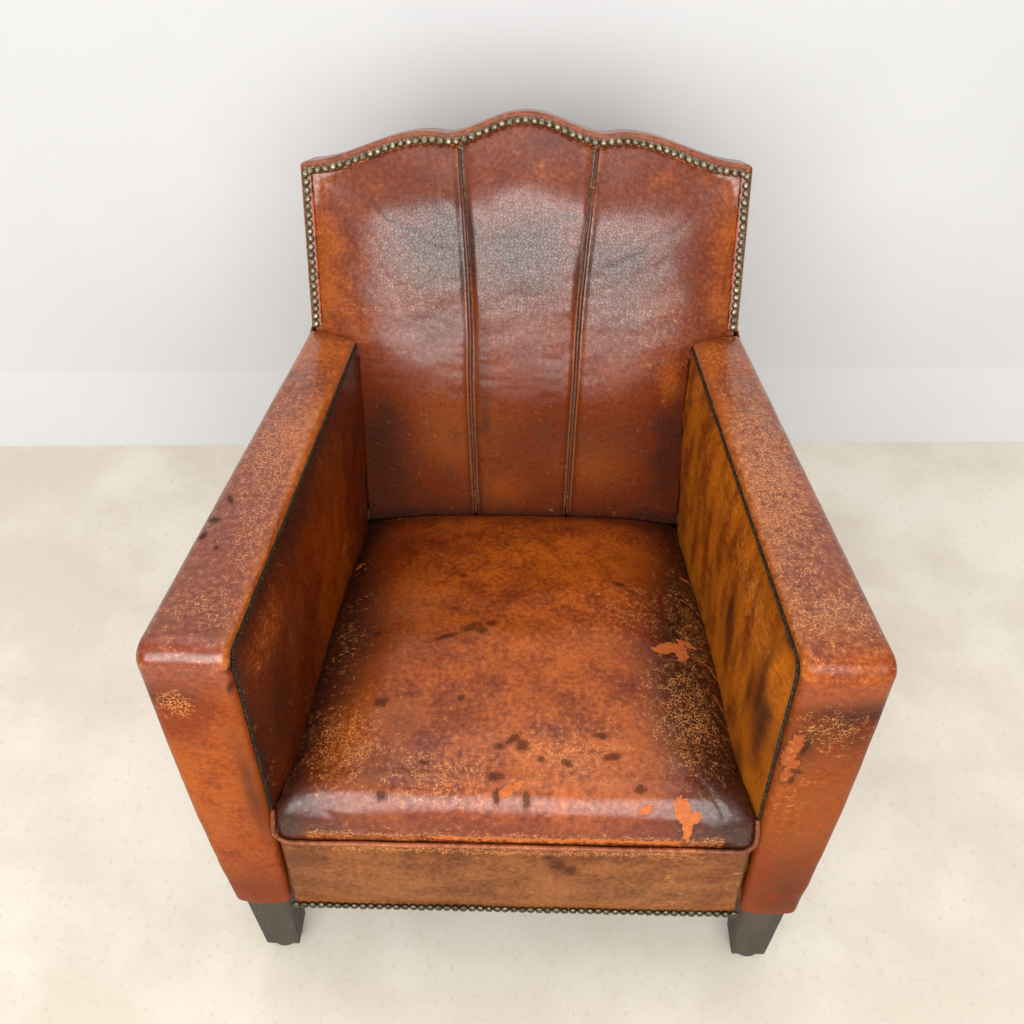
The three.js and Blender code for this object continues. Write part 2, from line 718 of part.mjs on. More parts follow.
function dustCover() {
  const half = [[279, 5], [279, 64], [340, 64], [303, 484], [238, 484], [238, 534]];
  const outline = new THREE.Shape([
    ...half.map(([x, y]) => new THREE.Vector2(x, y)),
    ...half.reverse().map(([x, y]) => new THREE.Vector2(-x, y)),
  ]);
  const geometry = new THREE.ExtrudeGeometry(outline, { depth: 0.9, bevelEnabled: false });
  geometry.translate(0, 0, BODY_BOTTOM + 0.3);
  add("dust_cover", geometry, finishes.canvas);
}

// ---- Nail rows: domed heads that touch, so each row is one beaded body ----

// places: head centres with the directions across the row and out of the leather.
function nailRow(places) {
  const rings = [];
  const bead = (place, half, high) => {
    const { centre, across, out } = place;
    const section = [[-half, 0], [-0.55 * half, high], [0.55 * half, high], [half, 0]];
    return section.map(([a, h]) => centre.clone().addScaledVector(across, a).addScaledVector(out, h));
  };
  places.forEach((place, i) => {
    rings.push(bead(place, 5.1, 3.6));
    if (i + 1 < places.length) {
      const next = places[i + 1];
      const middle = {
        centre: place.centre.clone().lerp(next.centre, 0.5),
        across: place.across.clone().add(next.across).normalize(),
        out: place.out,
      };
      rings.push(bead(middle, 1.8, 0.8));
    }
  });
  return throughRings(rings);
}

function backNails() {
  // A fine outline on the nail line, measured along so that the heads are evenly spaced.
  const [sideInset, topInset] = [6.5, 10];
  const line = backOutline(60, 700, 8).map((place) => {
    const [x, s] = place(topInset);
    return [x * ((BACK_HALF - sideInset) / (BACK_HALF - topInset)), s];
  });
  const lengths = [0];
  for (let i = 1; i < line.length; i++) {
    lengths.push(lengths[i - 1] + Math.hypot(line[i][0] - line[i - 1][0], line[i][1] - line[i - 1][1]));
  }
  const count = Math.round(lengths.at(-1) / NAIL_PITCH);
  const places = [];
  for (let k = 0; k <= count; k++) {
    const target = (lengths.at(-1) * k) / count;
    const i = max(1, min(line.length - 2, lengths.findIndex((length) => length >= target)));
    const [ax, as] = line[i - 1];
    const [bx, bs] = line[i + 1];
    const length = Math.hypot(bx - ax, bs - as);
    const up = point(0, sin(BACK_RAKE), cos(BACK_RAKE));
    const across = point((bs - as) / length, 0, 0).addScaledVector(up, -(bx - ax) / length);
    const out = point(0, -cos(BACK_RAKE), sin(BACK_RAKE));
    places.push({ centre: backPoint(line[i][0], line[i][1], 6.3), across, out });
  }
  add("back_nail_row", nailRow(places), finishes.nail);
}

function frontNails() {
  const places = steps(-273, 273, 52).map((x) => ({
    centre: point(x, -5.6, BODY_BOTTOM + 5.4),
    across: point(0, 0, 1),
    out: point(0, -1, 0),
  }));
  add("front_nail_row", nailRow(places), finishes.nail);
}

frontRail();
rearRail();
sideRails();
posts();
armBoards();
armTackRails();
backRails();
cornerBlocks();
feet();
webbing();
springs();
seatPad();
backPad();
armPads();
seatLeather();
backLeather();
backEdgeBand();
outsideBack();
insideArmLeather();
armStrips();
outsideArmLeather();
dustCover();
backNails();
frontNails();

const box = new THREE.Box3().setFromObject(chair);
chair.position.y = -(box.min.y + box.max.y) / 2;

export default chair;
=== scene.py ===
# A worn club chair: beech frame, sprung seat and stuffed back and arms under old waxed sheepskin.
# It is put together here as an upholsterer would, from the frame outwards. Shapes are worked out in
# millimetres, with y at 0 on the arms' front faces and growing to the back. Meshes are in metres.
import math
import bmesh
import bpy
import numpy as np
from mathutils import Matrix, Vector


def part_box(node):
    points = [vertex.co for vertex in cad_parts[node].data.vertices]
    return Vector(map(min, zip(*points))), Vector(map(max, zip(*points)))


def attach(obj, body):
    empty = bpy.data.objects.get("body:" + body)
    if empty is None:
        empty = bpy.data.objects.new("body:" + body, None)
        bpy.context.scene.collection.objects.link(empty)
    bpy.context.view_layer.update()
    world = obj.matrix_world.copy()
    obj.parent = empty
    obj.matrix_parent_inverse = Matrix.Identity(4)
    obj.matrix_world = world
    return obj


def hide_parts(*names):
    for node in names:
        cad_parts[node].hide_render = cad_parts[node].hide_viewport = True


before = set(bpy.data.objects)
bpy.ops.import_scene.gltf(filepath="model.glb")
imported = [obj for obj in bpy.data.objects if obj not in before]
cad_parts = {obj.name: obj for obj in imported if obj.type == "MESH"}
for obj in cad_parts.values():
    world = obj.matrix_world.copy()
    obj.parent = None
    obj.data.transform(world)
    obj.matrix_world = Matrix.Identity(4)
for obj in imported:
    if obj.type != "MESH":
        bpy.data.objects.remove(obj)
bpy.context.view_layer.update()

# ---- The studio ----
# A pale concrete floor, a white wall close behind the chair, and daylight from a high window in
# front of it, a little to the left. The wall shows from its front only.

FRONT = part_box("left_arm_strip_leather")[0].y  # the arms' front faces
WALL = FRONT + 1.147


def node(tree, kind, inputs=None, **settings):
    made = tree.nodes.new(kind)
    for name, value in settings.items():
        setattr(made, name, value)
    for key, value in (inputs or {}).items():
        if isinstance(value, bpy.types.NodeSocket):
            tree.links.new(value, made.inputs[key])
        else:
            made.inputs[key].default_value = value
    return made


def math_node(tree, operation, a, b=0.0, c=0.0):
    return node(tree, "ShaderNodeMath", {0: a, 1: b, 2: c}, operation=operation).outputs[0]


def ramp(tree, value, start, end, low=0.0, high=1.0):
    inputs = {"Value": value, "From Min": start, "From Max": end, "To Min": low, "To Max": high}
    return node(tree, "ShaderNodeMapRange", inputs, interpolation_type="SMOOTHSTEP").outputs[0]


def noise(tree, place, scale, detail=3.0, roughness=0.55, flat=False):
    inputs = {"Vector": place, "Scale": scale, "Detail": detail, "Roughness": roughness}
    return node(tree, "ShaderNodeTexNoise", inputs, noise_dimensions="2D" if flat else "3D")


def mix(tree, factor, a, b, blend="MIX"):
    made = node(tree, "ShaderNodeMix", {0: factor, 6: a, 7: b}, data_type="RGBA", blend_type=blend)
    return made.outputs[2]


def new_material(name):
    material = bpy.data.materials.new(name)
    material.use_nodes = True
    tree = material.node_tree
    shader = tree.nodes["Principled BSDF"]
    place = node(tree, "ShaderNodeTexCoord").outputs["Object"]
    return material, tree, shader, place


def bump(tree, shader, height, distance, strength=1.0):
    made = node(
        tree, "ShaderNodeBump", {"Height": height, "Distance": distance, "Strength": strength}
    )
    tree.links.new(made.outputs[0], shader.inputs["Normal"])


def flat_sheet(name, corners, material):
    mesh = bpy.data.meshes.new(name)
    mesh.from_pydata(corners, [], [(0, 1, 2, 3)])
    mesh.materials.append(material)
    sheet = bpy.data.objects.new(name, mesh)
    bpy.context.scene.collection.objects.link(sheet)


def concrete():
    material, tree, shader, place = new_material("pale concrete")
    clouds = noise(tree, place, 2.6, 4.0, 0.62, flat=True).outputs[0]
    grit = noise(tree, place, 90.0, 2.0, 0.6, flat=True).outputs[0]
    colour = mix(
        tree, ramp(tree, clouds, 0.35, 0.7), (0.645, 0.585, 0.49, 1), (0.755, 0.70, 0.61, 1)
    )
    speckle = ramp(tree, grit, 0.6, 0.75, 0.0, 0.3)
    tree.links.new(mix(tree, speckle, colour, (0.5, 0.44, 0.36, 1)), shader.inputs["Base Color"])
    shader.inputs["Roughness"].default_value = 0.75
    return material


def white_paint(name, dull, bright):
    material, tree, shader, place = new_material(name)
    tone = noise(tree, place, 3.0, 2.0).outputs[0]
    colour = mix(tree, ramp(tree, tone, 0.3, 0.7), dull, bright)
    tree.links.new(colour, shader.inputs["Base Color"])
    shader.inputs["Roughness"].default_value = 0.8
    clear = node(tree, "ShaderNodeBsdfTransparent").outputs[0]
    behind = node(tree, "ShaderNodeNewGeometry").outputs["Backfacing"]
    seen = node(tree, "ShaderNodeMixShader", {0: behind, 1: shader.outputs[0], 2: clear})
    tree.links.new(seen.outputs[0], tree.nodes["Material Output"].inputs["Surface"])
    return material


FLOOR_HALF = 6.0
WALL_HIGH = 3.2
flat_sheet(
    "floor",
    [
        (-FLOOR_HALF, -FLOOR_HALF, 0), (FLOOR_HALF, -FLOOR_HALF, 0), (FLOOR_HALF, FLOOR_HALF, 0),
        (-FLOOR_HALF, FLOOR_HALF, 0),
    ],
    concrete(),
)
WALL_TURN = 0.0282  # the chair stands a touch askew to the wall
SKIRTING = 0.194


def along_wall(name, nearer, low, high, material):
    left, right = (WALL - nearer - FLOOR_HALF * WALL_TURN), (WALL - nearer + FLOOR_HALF * WALL_TURN)
    corners = [
        (-FLOOR_HALF, left, low), (FLOOR_HALF, right, low), (FLOOR_HALF, right, high),
        (-FLOOR_HALF, left, high),
    ]
    flat_sheet(name, corners, material)


WALL_PAINT = white_paint("wall paint", (0.605, 0.615, 0.63, 1), (0.62, 0.63, 0.645, 1))
BOARD_PAINT = white_paint("skirting paint", (0.635, 0.64, 0.65, 1), (0.65, 0.655, 0.665, 1))
along_wall("wall", 0, 0, WALL_HIGH, WALL_PAINT)
along_wall("skirting board", 0.012, 0, SKIRTING, BOARD_PAINT)


def area_light(name, place, target, width, height, power, colour=(1, 1, 1)):
    light = bpy.data.lights.new(name, "AREA")
    light.shape = "RECTANGLE"
    light.size = width
    light.size_y = height
    light.energy = power
    light.color = colour
    lamp = bpy.data.objects.new(name, light)
    lamp.location = place
    lamp.rotation_euler = (Vector(target) - Vector(place)).to_track_quat("-Z", "Y").to_euler()
    bpy.context.scene.collection.objects.link(lamp)


area_light("window", (-0.1, FRONT - 2.5, 1.6), (0, 0, 0.6), 3.7, 1.7, 138, (1.0, 0.985, 0.965))
area_light(
    "ceiling", (-0.2, FRONT + 0.3, 3.1), (0, FRONT + 0.6, 0), 3.4, 2.6, 32, (1.0, 0.99, 0.975)
)

world = bpy.data.worlds.new("room light")
world.use_nodes = True
sky = world.node_tree
upward = node(
    sky, "ShaderNodeSeparateXYZ", {0: node(sky, "ShaderNodeTexCoord").outputs["Generated"]}
).outputs["Z"]
seen = node(sky, "ShaderNodeLightPath").outputs["Is Camera Ray"]
glow = math_node(
    sky, "MAXIMUM", ramp(sky, upward, 0.0, 0.4, 0.14, 0.62), math_node(sky, "MULTIPLY", seen, 0.85)
)
sky.links.new(glow, sky.nodes["Background"].inputs["Strength"])
sky.nodes["Background"].inputs["Color"].default_value = (1.0, 0.99, 0.975, 1)
bpy.context.scene.world = world
bpy.context.scene.view_settings.view_transform = "Standard"


def place_camera():
    # The camera looks down on the seat from above the sitter's knees, turned a touch to the left.
    heading = Vector((-0.0282, 0.9996, 0)).normalized()
    pitch = math.radians(42.13)
    roll = math.radians(-0.254)
    forward = heading * math.cos(pitch) - Vector((0, 0, math.sin(pitch)))
    level = Vector((heading.y, -heading.x, 0))
    above = level.cross(forward)
    right = level * math.cos(roll) + above * math.sin(roll)
    up = above * math.cos(roll) - level * math.sin(roll)
    data = bpy.data.cameras.new("camera")
    data.sensor_width = 36
    data.lens = 36.05
    camera = bpy.data.objects.new("camera", data)
    turned = Matrix((right, up, -forward)).transposed().to_4x4()
    camera.matrix_world = Matrix.Translation((0.01706, FRONT - 0.6219, 1.3884)) @ turned
    bpy.context.scene.collection.objects.link(camera)
    bpy.context.scene.camera = camera


place_camera()

# ---- The beech frame ----
# Rails, posts, arm boards and blocks of steamed beech, glued and dowelled. All of it is hidden by
# the leather, and its CAD solids keep their shape.

BEECH_PARTS = ["front_rail", "rear_rail", "crest_rail", "lower_back_rail"]
for side in ("left", "right"):
    for part in (
        "side_rail", "front_post", "rear_post", "arm_board", "arm_tack_rail", "corner_block"
    ):
        BEECH_PARTS.append(side + "_" + part)


def wood(name, light, dark, along, roughness):
    """Wood whose fibres run along one axis: "along" gives how much each axis is squeezed."""
    material, tree, shader, place = new_material(name)
    squeezed = node(tree, "ShaderNodeMapping", {"Vector": place, "Scale": along}).outputs[0]
    fibre = noise(tree, squeezed, 60.0, 6.0, 0.65).outputs[0]
    pores = noise(tree, squeezed, 340.0, 3.0, 0.6).outputs[0]
    tone = math_node(
        tree, "ADD", math_node(tree, "MULTIPLY", fibre, 0.75),
        math_node(tree, "MULTIPLY", pores, 0.25),
    )
    tree.links.new(
        mix(tree, ramp(tree, tone, 0.38, 0.62), dark, light), shader.inputs["Base Color"]
    )
    tree.links.new(
        ramp(tree, pores, 0.3, 0.7, roughness - 0.08, roughness + 0.1), shader.inputs["Roughness"]
    )
    bump(tree, shader, tone, 0.0004)
    return material


def refinish(names, material):
    for name in names:
        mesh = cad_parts[name].data
        mesh.materials.clear()
        mesh.materials.append(material)


refinish(
    BEECH_PARTS,
    wood("steamed beech", (0.56, 0.34, 0.17, 1), (0.40, 0.22, 0.10, 1), (0.12, 1.0, 1.0), 0.6),
)

# ---- Webbing, springs, canvas and dust cover ----
# Jute webbing is woven across the frame, nine waisted springs stand on the seat's, and a canvas
# covers them. A black cotton dust cover closes the underside.


def woven(name, light, dark, pitch):
    material, tree, shader, place = new_material(name)
    across = node(
        tree, "ShaderNodeTexWave", {"Vector": place, "Scale": 1 / pitch / 6.3}, bands_direction="X"
    )
    along = node(
        tree, "ShaderNodeTexWave", {"Vector": place, "Scale": 1 / pitch / 6.3}, bands_direction="Y"
    )
    weave = math_node(tree, "MULTIPLY", across.outputs[1], along.outputs[1])
    fuzz = noise(tree, place, 400.0).outputs[0]
    tone = math_node(
        tree, "ADD", math_node(tree, "MULTIPLY", weave, 0.6), math_node(tree, "MULTIPLY", fuzz, 0.5)
    )
    tree.links.new(mix(tree, ramp(tree, tone, 0.2, 0.8), dark, light), shader.inputs["Base Color"])
    shader.inputs["Roughness"].default_value = 0.9
    bump(tree, shader, weave, 0.0006)
    return material


def spring_steel():
    material, tree, shader, place = new_material("coppered spring wire")
    spots = noise(tree, place, 120.0, 4.0).outputs[0]
    colour = mix(tree, ramp(tree, spots, 0.4, 0.65), (0.42, 0.25, 0.17, 1), (0.22, 0.12, 0.08, 1))
    tree.links.new(colour, shader.inputs["Base Color"])
    tree.links.new(ramp(tree, spots, 0.3, 0.7, 0.3, 0.6), shader.inputs["Roughness"])
    shader.inputs["Metallic"].default_value = 1.0
    return material


refinish(
    ["seat_webbing", "back_webbing"],
    woven("jute webbing", (0.48, 0.36, 0.2, 1), (0.25, 0.17, 0.09, 1), 0.002),
)
refinish(["spring_cover"], woven("hessian", (0.5, 0.4, 0.25, 1), (0.3, 0.22, 0.12, 1), 0.0015))
refinish(
    ["dust_cover"], woven("black cotton", (0.03, 0.028, 0.026, 1), (0.012, 0.011, 0.01, 1), 0.0008)
)
refinish(
    [
        "spring_" + row + "_" + column for row in (
            "front", "middle", "rear"
        ) for column in ("left", "centre", "right")
    ],
    spring_steel(),
)

# ---- Feet and glides ----
# Four square feet of stained wood, tapered towards the floor, with eased edges.
# Each stands on a round pressed glide.

FOOT_EASE = 0.0022


def tapered_foot(name, material):
    low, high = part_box(name)
    centre = (low + high) / 2
    top = (high.x - low.x) / 2
    toe = top * 45 / 56
    mesh = bmesh.new()
    for half, z in ((toe, low.z), (top, high.z)):
        for sx, sy in ((-1, -1), (1, -1), (1, 1), (-1, 1)):
            mesh.verts.new((centre.x + sx * half, centre.y + sy * half, z))
    verts = list(mesh.verts)
    mesh.faces.new(verts[3::-1])
    mesh.faces.new(verts[4:])
    for i in range(4):
        j = (i + 1) % 4
        mesh.faces.new((verts[i], verts[j], verts[4 + j], verts[4 + i]))
    bmesh.ops.bevel(
        mesh, geom=list(mesh.edges), offset=FOOT_EASE, segments=3, profile=0.5, affect="EDGES"
    )
    bmesh.ops.subdivide_edges(
        mesh, edges=[e for e in mesh.edges if e.calc_length() > 0.03], cuts=6, use_grid_fill=True
    )
    bmesh.ops.recalc_face_normals(mesh, faces=mesh.faces)
    return finished(name + "_turned", mesh, material, [name])


def finished(name, source, material, stands_for):
    """Makes a piece from a bmesh or a mesh, gives it its material and hangs it on the chair."""
    if isinstance(source, bmesh.types.BMesh):
        mesh = bpy.data.meshes.new(name)
        source.to_mesh(mesh)
        source.free()
    else:
        mesh = source
    mesh.materials.clear()
    mesh.materials.append(material)
    mesh.polygons.foreach_set("use_smooth", np.ones(len(mesh.polygons), bool))
    piece = bpy.data.objects.new(name, mesh)
    bpy.context.scene.collection.objects.link(piece)
    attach(piece, "root")
    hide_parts(*stands_for)
    return piece


def pressed_glide(name, material):
    low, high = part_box(name)
    centre = (low + high) / 2
    radius, height = (high.x - low.x) / 2, high.z
    profile = [
        (0, 0), (0.5, 0), (0.72, 0.04), (0.9, 0.2), (0.98, 0.42), (1.0, 0.6), (0.97, 0.85),
        (0.9, 1.0), (0, 1.0),
    ]
    mesh = bmesh.new()
    chain = [mesh.verts.new((r * radius, 0, h * height)) for r, h in profile]
    edges = [mesh.edges.new(pair) for pair in zip(chain, chain[1:])]
    bmesh.ops.spin(
        mesh, geom=chain + edges, cent=(0, 0, 0), axis=(0, 0, 1), angle=2 * math.pi, steps=40
    )
    bmesh.ops.remove_doubles(mesh, verts=mesh.verts, dist=1e-6)
    bmesh.ops.recalc_face_normals(mesh, faces=mesh.faces)
    bmesh.ops.translate(mesh, verts=mesh.verts, vec=(centre.x, centre.y, 0))
    return finished(name + "_pressed", mesh, material, [name])


def glide_finish():
    material, tree, shader, place = new_material("blackened glide")
    wear = noise(tree, place, 160.0, 4.0).outputs[0]
    colour = mix(
        tree, ramp(tree, wear, 0.5, 0.7), (0.022, 0.02, 0.018, 1), (0.075, 0.065, 0.055, 1)
    )
    tree.links.new(colour, shader.inputs["Base Color"])
    tree.links.new(ramp(tree, wear, 0.3, 0.7, 0.4, 0.7), shader.inputs["Roughness"])
    return material


foot_wood = wood(
    "stained foot wood", (0.046, 0.031, 0.020, 1), (0.028, 0.020, 0.014, 1), (1.0, 1.0, 0.14), 0.6
)
glide_black = glide_finish()
for side in ("left", "right"):
    for end in ("front", "rear"):
        tapered_foot(side + "_" + end + "_foot", foot_wood)
        pressed_glide(side + "_" + end + "_glide", glide_black)

# ---- Old sheepskin ----
# Waxed sheepskin, tan where it was cut from the pale side of the hide and rubbed, red-brown where
# it was dyed, and almost black where hands and grease have darkened it. The dark value also
# carries painted shade where pieces meet, along seams, in creases and on the left inside arm,
# which is turned from the light. Dry parts crackle into a fine pale net, and where the surface
# has torn off the orange suede shows. Every piece carries a value from 0 to 1 at each point for
# each of these effects.

SKIN_MASKS = ("tan", "dark", "crackle", "bare", "stain", "crinkle", "wax")


def voronoi(tree, inputs, feature):
    return node(
        tree, "ShaderNodeTexVoronoi", inputs, feature=feature, voronoi_dimensions="2D"
    ).outputs[0]


def skin_group():
    tree = bpy.data.node_groups.new("old sheepskin", "ShaderNodeTree")
    sockets = [("Place", "NodeSocketVector"), ("Flow", "NodeSocketVector")]
    sockets += [(name.capitalize(), "NodeSocketFloat") for name in SKIN_MASKS]
    sockets += [(name, "NodeSocketFloat") for name in ("Scored", "Grain")]
    sockets += [(name, "NodeSocketColor") for name in ("Brown", "Fawn", "Black", "Pale", "Suede")]
    for name, kind in sockets:
        tree.interface.new_socket(name=name, in_out="INPUT", socket_type=kind)
    for name, kind in (
        ("Colour", "NodeSocketColor"), ("Roughness", "NodeSocketFloat"),
        ("Height", "NodeSocketFloat"), ("Polish", "NodeSocketFloat"),
    ):
        tree.interface.new_socket(name=name, in_out="OUTPUT", socket_type=kind)
    given = node(tree, "NodeGroupInput").outputs
    place = given["Place"]

    def off(value, amount):
        """A noise value turned into a push up or down round zero."""
        return math_node(tree, "MULTIPLY_ADD", value, amount, -amount / 2)

    def times(a, b):
        return math_node(tree, "MULTIPLY", a, b)

    def pushed(base, *pushes):
        for push in pushes:
            base = math_node(tree, "ADD", base, push)
        return base

    broad = noise(tree, place, 7.0, 3.0).outputs[0]
    patch = noise(tree, place, 34.0, 3.0, 0.6).outputs[0]
    flow = given["Flow"]
    mottle = noise(tree, flow, 150.0, 3.0, 0.65, flat=True).outputs[0]
    grit = noise(tree, flow, 620.0, 1.0, 0.6, flat=True).outputs[0]

    fawn = pushed(given["Tan"], off(broad, 0.9), off(patch, 0.7), off(mottle, 0.35))
    colour = mix(tree, ramp(tree, fawn, 0.2, 0.85), given["Brown"], given["Fawn"])
    # Grime from hands and grease, and painted shade where the dark value carries it, draw the
    # colour towards black.
    grime = pushed(given["Dark"], off(patch, 0.8), off(mottle, 0.5), off(broad, 0.3))
    colour = mix(tree, ramp(tree, grime, 0.2, 0.95, 0.0, 0.92), colour, given["Black"])
    shade = pushed(1.0, off(mottle, 1.0), off(grit, 0.6), off(patch, 0.5))
    colour = node(tree, "ShaderNodeHueSaturation", {"Color": colour, "Value": shade}).outputs[0]

    # The pale net: fine cells and flecks in a dry part, and a wider net where it is driest.
    wander = noise(tree, flow, 260.0, 1.0, flat=True).outputs[1]
    shifted = node(
        tree, "ShaderNodeVectorMath", {0: wander, 1: (0.0024,) * 3}, operation="MULTIPLY"
    ).outputs[0]
    bent = node(tree, "ShaderNodeVectorMath", {0: flow, 1: shifted}, operation="ADD").outputs[0]
    cells = {}
    for size, scale, width in (("fine", 175.0, 0.075), ("wide", 74.0, 0.035)):
        edge = voronoi(tree, {"Vector": bent, "Scale": scale}, "DISTANCE_TO_EDGE")
        cells[size] = ramp(tree, edge, 0.0, width, 1.0, 0.0)
    dry = noise(tree, flow, 75.0, 3.0, 0.7, flat=True).outputs[0]
    dryness = ramp(tree, pushed(given["Crackle"], off(dry, 1.2), off(mottle, 0.5)), 0.28, 0.85)
    driest = ramp(tree, pushed(given["Crackle"], off(dry, 1.0)), 0.6, 1.1)
    fleck = ramp(tree, noise(tree, flow, 430.0, 1.0, 0.7, flat=True).outputs[0], 0.57, 0.66)
    net = math_node(tree, "MAXIMUM", times(cells["fine"], dryness), times(cells["wide"], driest))
    net = math_node(tree, "MAXIMUM", net, times(fleck, dryness))
    colour = mix(tree, times(net, 0.82), colour, given["Pale"])

    # Scratches run one way on each piece, and only in places.
    turned = node(
        tree, "ShaderNodeVectorRotate", {"Vector": flow, "Angle": given["Grain"]},
        rotation_type="Z_AXIS",
    ).outputs[0]
    stretched = node(
        tree, "ShaderNodeMapping", {"Vector": turned, "Scale": (14.0, 110.0, 1.0)}
    ).outputs[0]
    swirl = noise(tree, flow, 14.0, 1.0, flat=True).outputs[1]
    swirled = node(
        tree, "ShaderNodeVectorMath", {0: stretched, 1: swirl}, operation="ADD"
    ).outputs[0]
    line = voronoi(tree, {"Vector": swirled, "Scale": 1.0}, "DISTANCE_TO_EDGE")
    where = ramp(
        tree,
        pushed(
            given["Scored"],
            times(given["Crackle"], 0.35),
            off(noise(tree, flow, 26.0, 2.0, flat=True).outputs[0], 1.6),
        ),
        0.55,
        0.9,
    )
    scratch = times(ramp(tree, line, 0.01, 0.06, 1.0, 0.0), where)
    colour = mix(tree, times(scratch, 0.5), colour, given["Pale"])

    torn = pushed(given["Bare"], off(mottle, 0.5), off(patch, 0.4))
    torn_off = ramp(tree, torn, 0.47, 0.53)
    lip = times(ramp(tree, torn, 0.37, 0.47), ramp(tree, given["Bare"], 0.2, 0.35, 0.0, 0.6))
    colour = mix(tree, lip, colour, given["Black"])
    colour = mix(
        tree,
        torn_off,
        colour,
        mix(tree, ramp(tree, mottle, 0.4, 0.9, 0.0, 0.35), given["Suede"], given["Pale"]),
    )
    soaking = pushed(given["Stain"], off(mottle, 1.0), off(grit, 0.5), off(patch, 0.3))
    soaked = ramp(tree, soaking, 0.45, 0.75, 0.0, 0.75)
    colour = mix(tree, soaked, colour, given["Black"])

    rough = pushed(0.40, off(mottle, 0.22), off(grit, 0.1), times(net, 0.12))
    rough = pushed(rough, times(torn_off, 0.25), times(soaked, 0.12))

    pebble = voronoi(tree, {"Vector": bent, "Scale": 640.0}, "F1")
    grain = voronoi(tree, {"Vector": bent, "Scale": 330.0}, "F1")
    crinkle = noise(tree, bent, 210.0, 2.0, 0.6, flat=True).outputs[0]
    creases = voronoi(tree, {"Vector": bent, "Scale": 190.0}, "F1")
    ridge = voronoi(tree, {"Vector": bent, "Scale": 215.0}, "DISTANCE_TO_EDGE")
    furrows = ramp(tree, ridge, 0.02, 0.2, 1.0, 0.0)
    folds = pushed(crinkle, times(creases, -0.8), times(furrows, -0.4))
    folds = times(folds, given["Crinkle"])
    height = pushed(times(pebble, -0.12), times(folds, 2.0))
    height = pushed(height, times(crinkle, 0.10), times(torn_off, -0.35))
    worn_off = math_node(tree, "MULTIPLY_ADD", torn_off, -0.9, 1.0)
    valleys = math_node(tree, "MAXIMUM", furrows, times(ramp(tree, grain, 0.35, 0.65), 0.5))
    wrinkled = math_node(tree, "MULTIPLY_ADD", given["Crinkle"], 0.55, 0.05)
    valleys = times(valleys, math_node(tree, "MINIMUM", wrinkled, 0.55))
    raised = math_node(tree, "SUBTRACT", 1.0, valleys)
    polish = times(given["Wax"], times(worn_off, raised))
    polish = times(polish, ramp(tree, mottle, 0.3, 0.7, 0.7, 1.0))
    polish = times(polish, math_node(tree, "MULTIPLY_ADD", soaked, -1.1, 1.0))
    node(
        tree,
        "NodeGroupOutput",
        {"Colour": colour, "Roughness": rough, "Height": height, "Polish": polish},
    )
    return tree


SKIN = skin_group()


def sheepskin(
    name, brown, fawn, black=(0.030, 0.009, 0.005), pale=(0.60, 0.235, 0.07),
    suede=(0.42, 0.088, 0.012), scored=0.1, grain=0.0, wax=0.3,
):
    material, tree, shader, place = new_material(name)
    flow = node(tree, "ShaderNodeUVMap", uv_map="cut").outputs[0]
    inputs = {"Place": place, "Flow": flow, "Scored": scored, "Grain": math.radians(grain)}
    for mask in SKIN_MASKS:
        inputs[mask.capitalize()] = node(
            tree, "ShaderNodeAttribute", attribute_name=mask
        ).outputs["Fac"]
    for socket, colour in (
        ("Brown", brown), ("Fawn", fawn), ("Black", black), ("Pale", pale), ("Suede", suede)
    ):
        inputs[socket] = (*colour, 1)
    skin = tree.nodes.new("ShaderNodeGroup")
    skin.node_tree = SKIN
    for key, value in inputs.items():
        if isinstance(value, bpy.types.NodeSocket):
            tree.links.new(value, skin.inputs[key])
        else:
            skin.inputs[key].default_value = value
    tree.links.new(skin.outputs["Colour"], shader.inputs["Base Color"])
    tree.links.new(skin.outputs["Roughness"], shader.inputs["Roughness"])
    tree.links.new(
        math_node(tree, "MULTIPLY", skin.outputs["Polish"], wax), shader.inputs["Coat Weight"]
    )
    shader.inputs["Coat Roughness"].default_value = 0.26
    shader.inputs["Coat IOR"].default_value = 1.66
    shader.inputs["Specular IOR Level"].default_value = 0.05
    bump(tree, shader, skin.outputs["Height"], 0.001)
    return material


# ---- The arms' strips ----
# One strip of sheepskin covers each arm's top, turns over the front and runs down to the frame's
# foot. Its inner edge is sewn to the inside arm by hand and its outer edge is turned under.

MM = 0.001
BODY_BOTTOM = 157
LEATHER = 2
ARM_LENGTH = 612
ARM_ROLL = 25  # radius where the top turns down
BACK_Y, BACK_Z = 618, 611  # the back's face at arm level
BACK_RAKE = math.radians(18.6)


def clip(value):
    return np.clip(value, 0, 1)


def rise(value):
    """A quick start that levels off at 1."""
    return np.sin(np.pi / 2 * clip(value))


def arm_top(y):
    return 638 - 27 * y / BACK_Y


ROLL_CENTRE = arm_top(ARM_ROLL) - ARM_ROLL


def seam_x(y):
    return 274 - 0.0654 * (y - 7)


def outer_x(y, z):
    return 304 + 63 * (1 - y / BACK_Y) - 12 * np.maximum(0, (487 - z) / 330) ** 2


def front_inner_x(z):
    return 275 + 7 * clip((ROLL_CENTRE - z) / (ROLL_CENTRE - BODY_BOTTOM)) ** 1.2


def spaced(start, end, step, edge=0.9):
    """Places from start to end about a step apart, with one more near each end for a crisp rim."""
    count = max(2, round(abs(end - start) / step))
    inner = np.linspace(start, end, count + 1)
    nudge = math.copysign(edge, end - start)
    return np.concatenate([[start, start + nudge], inner[1:-1], [end - nudge, end]])


def grid_normals(grid):
    along = np.gradient(grid, axis=0)
    across = np.gradient(grid, axis=1)
    normal = np.cross(along, across)
    return normal / np.maximum(np.linalg.norm(normal, axis=2, keepdims=True), 1e-9)


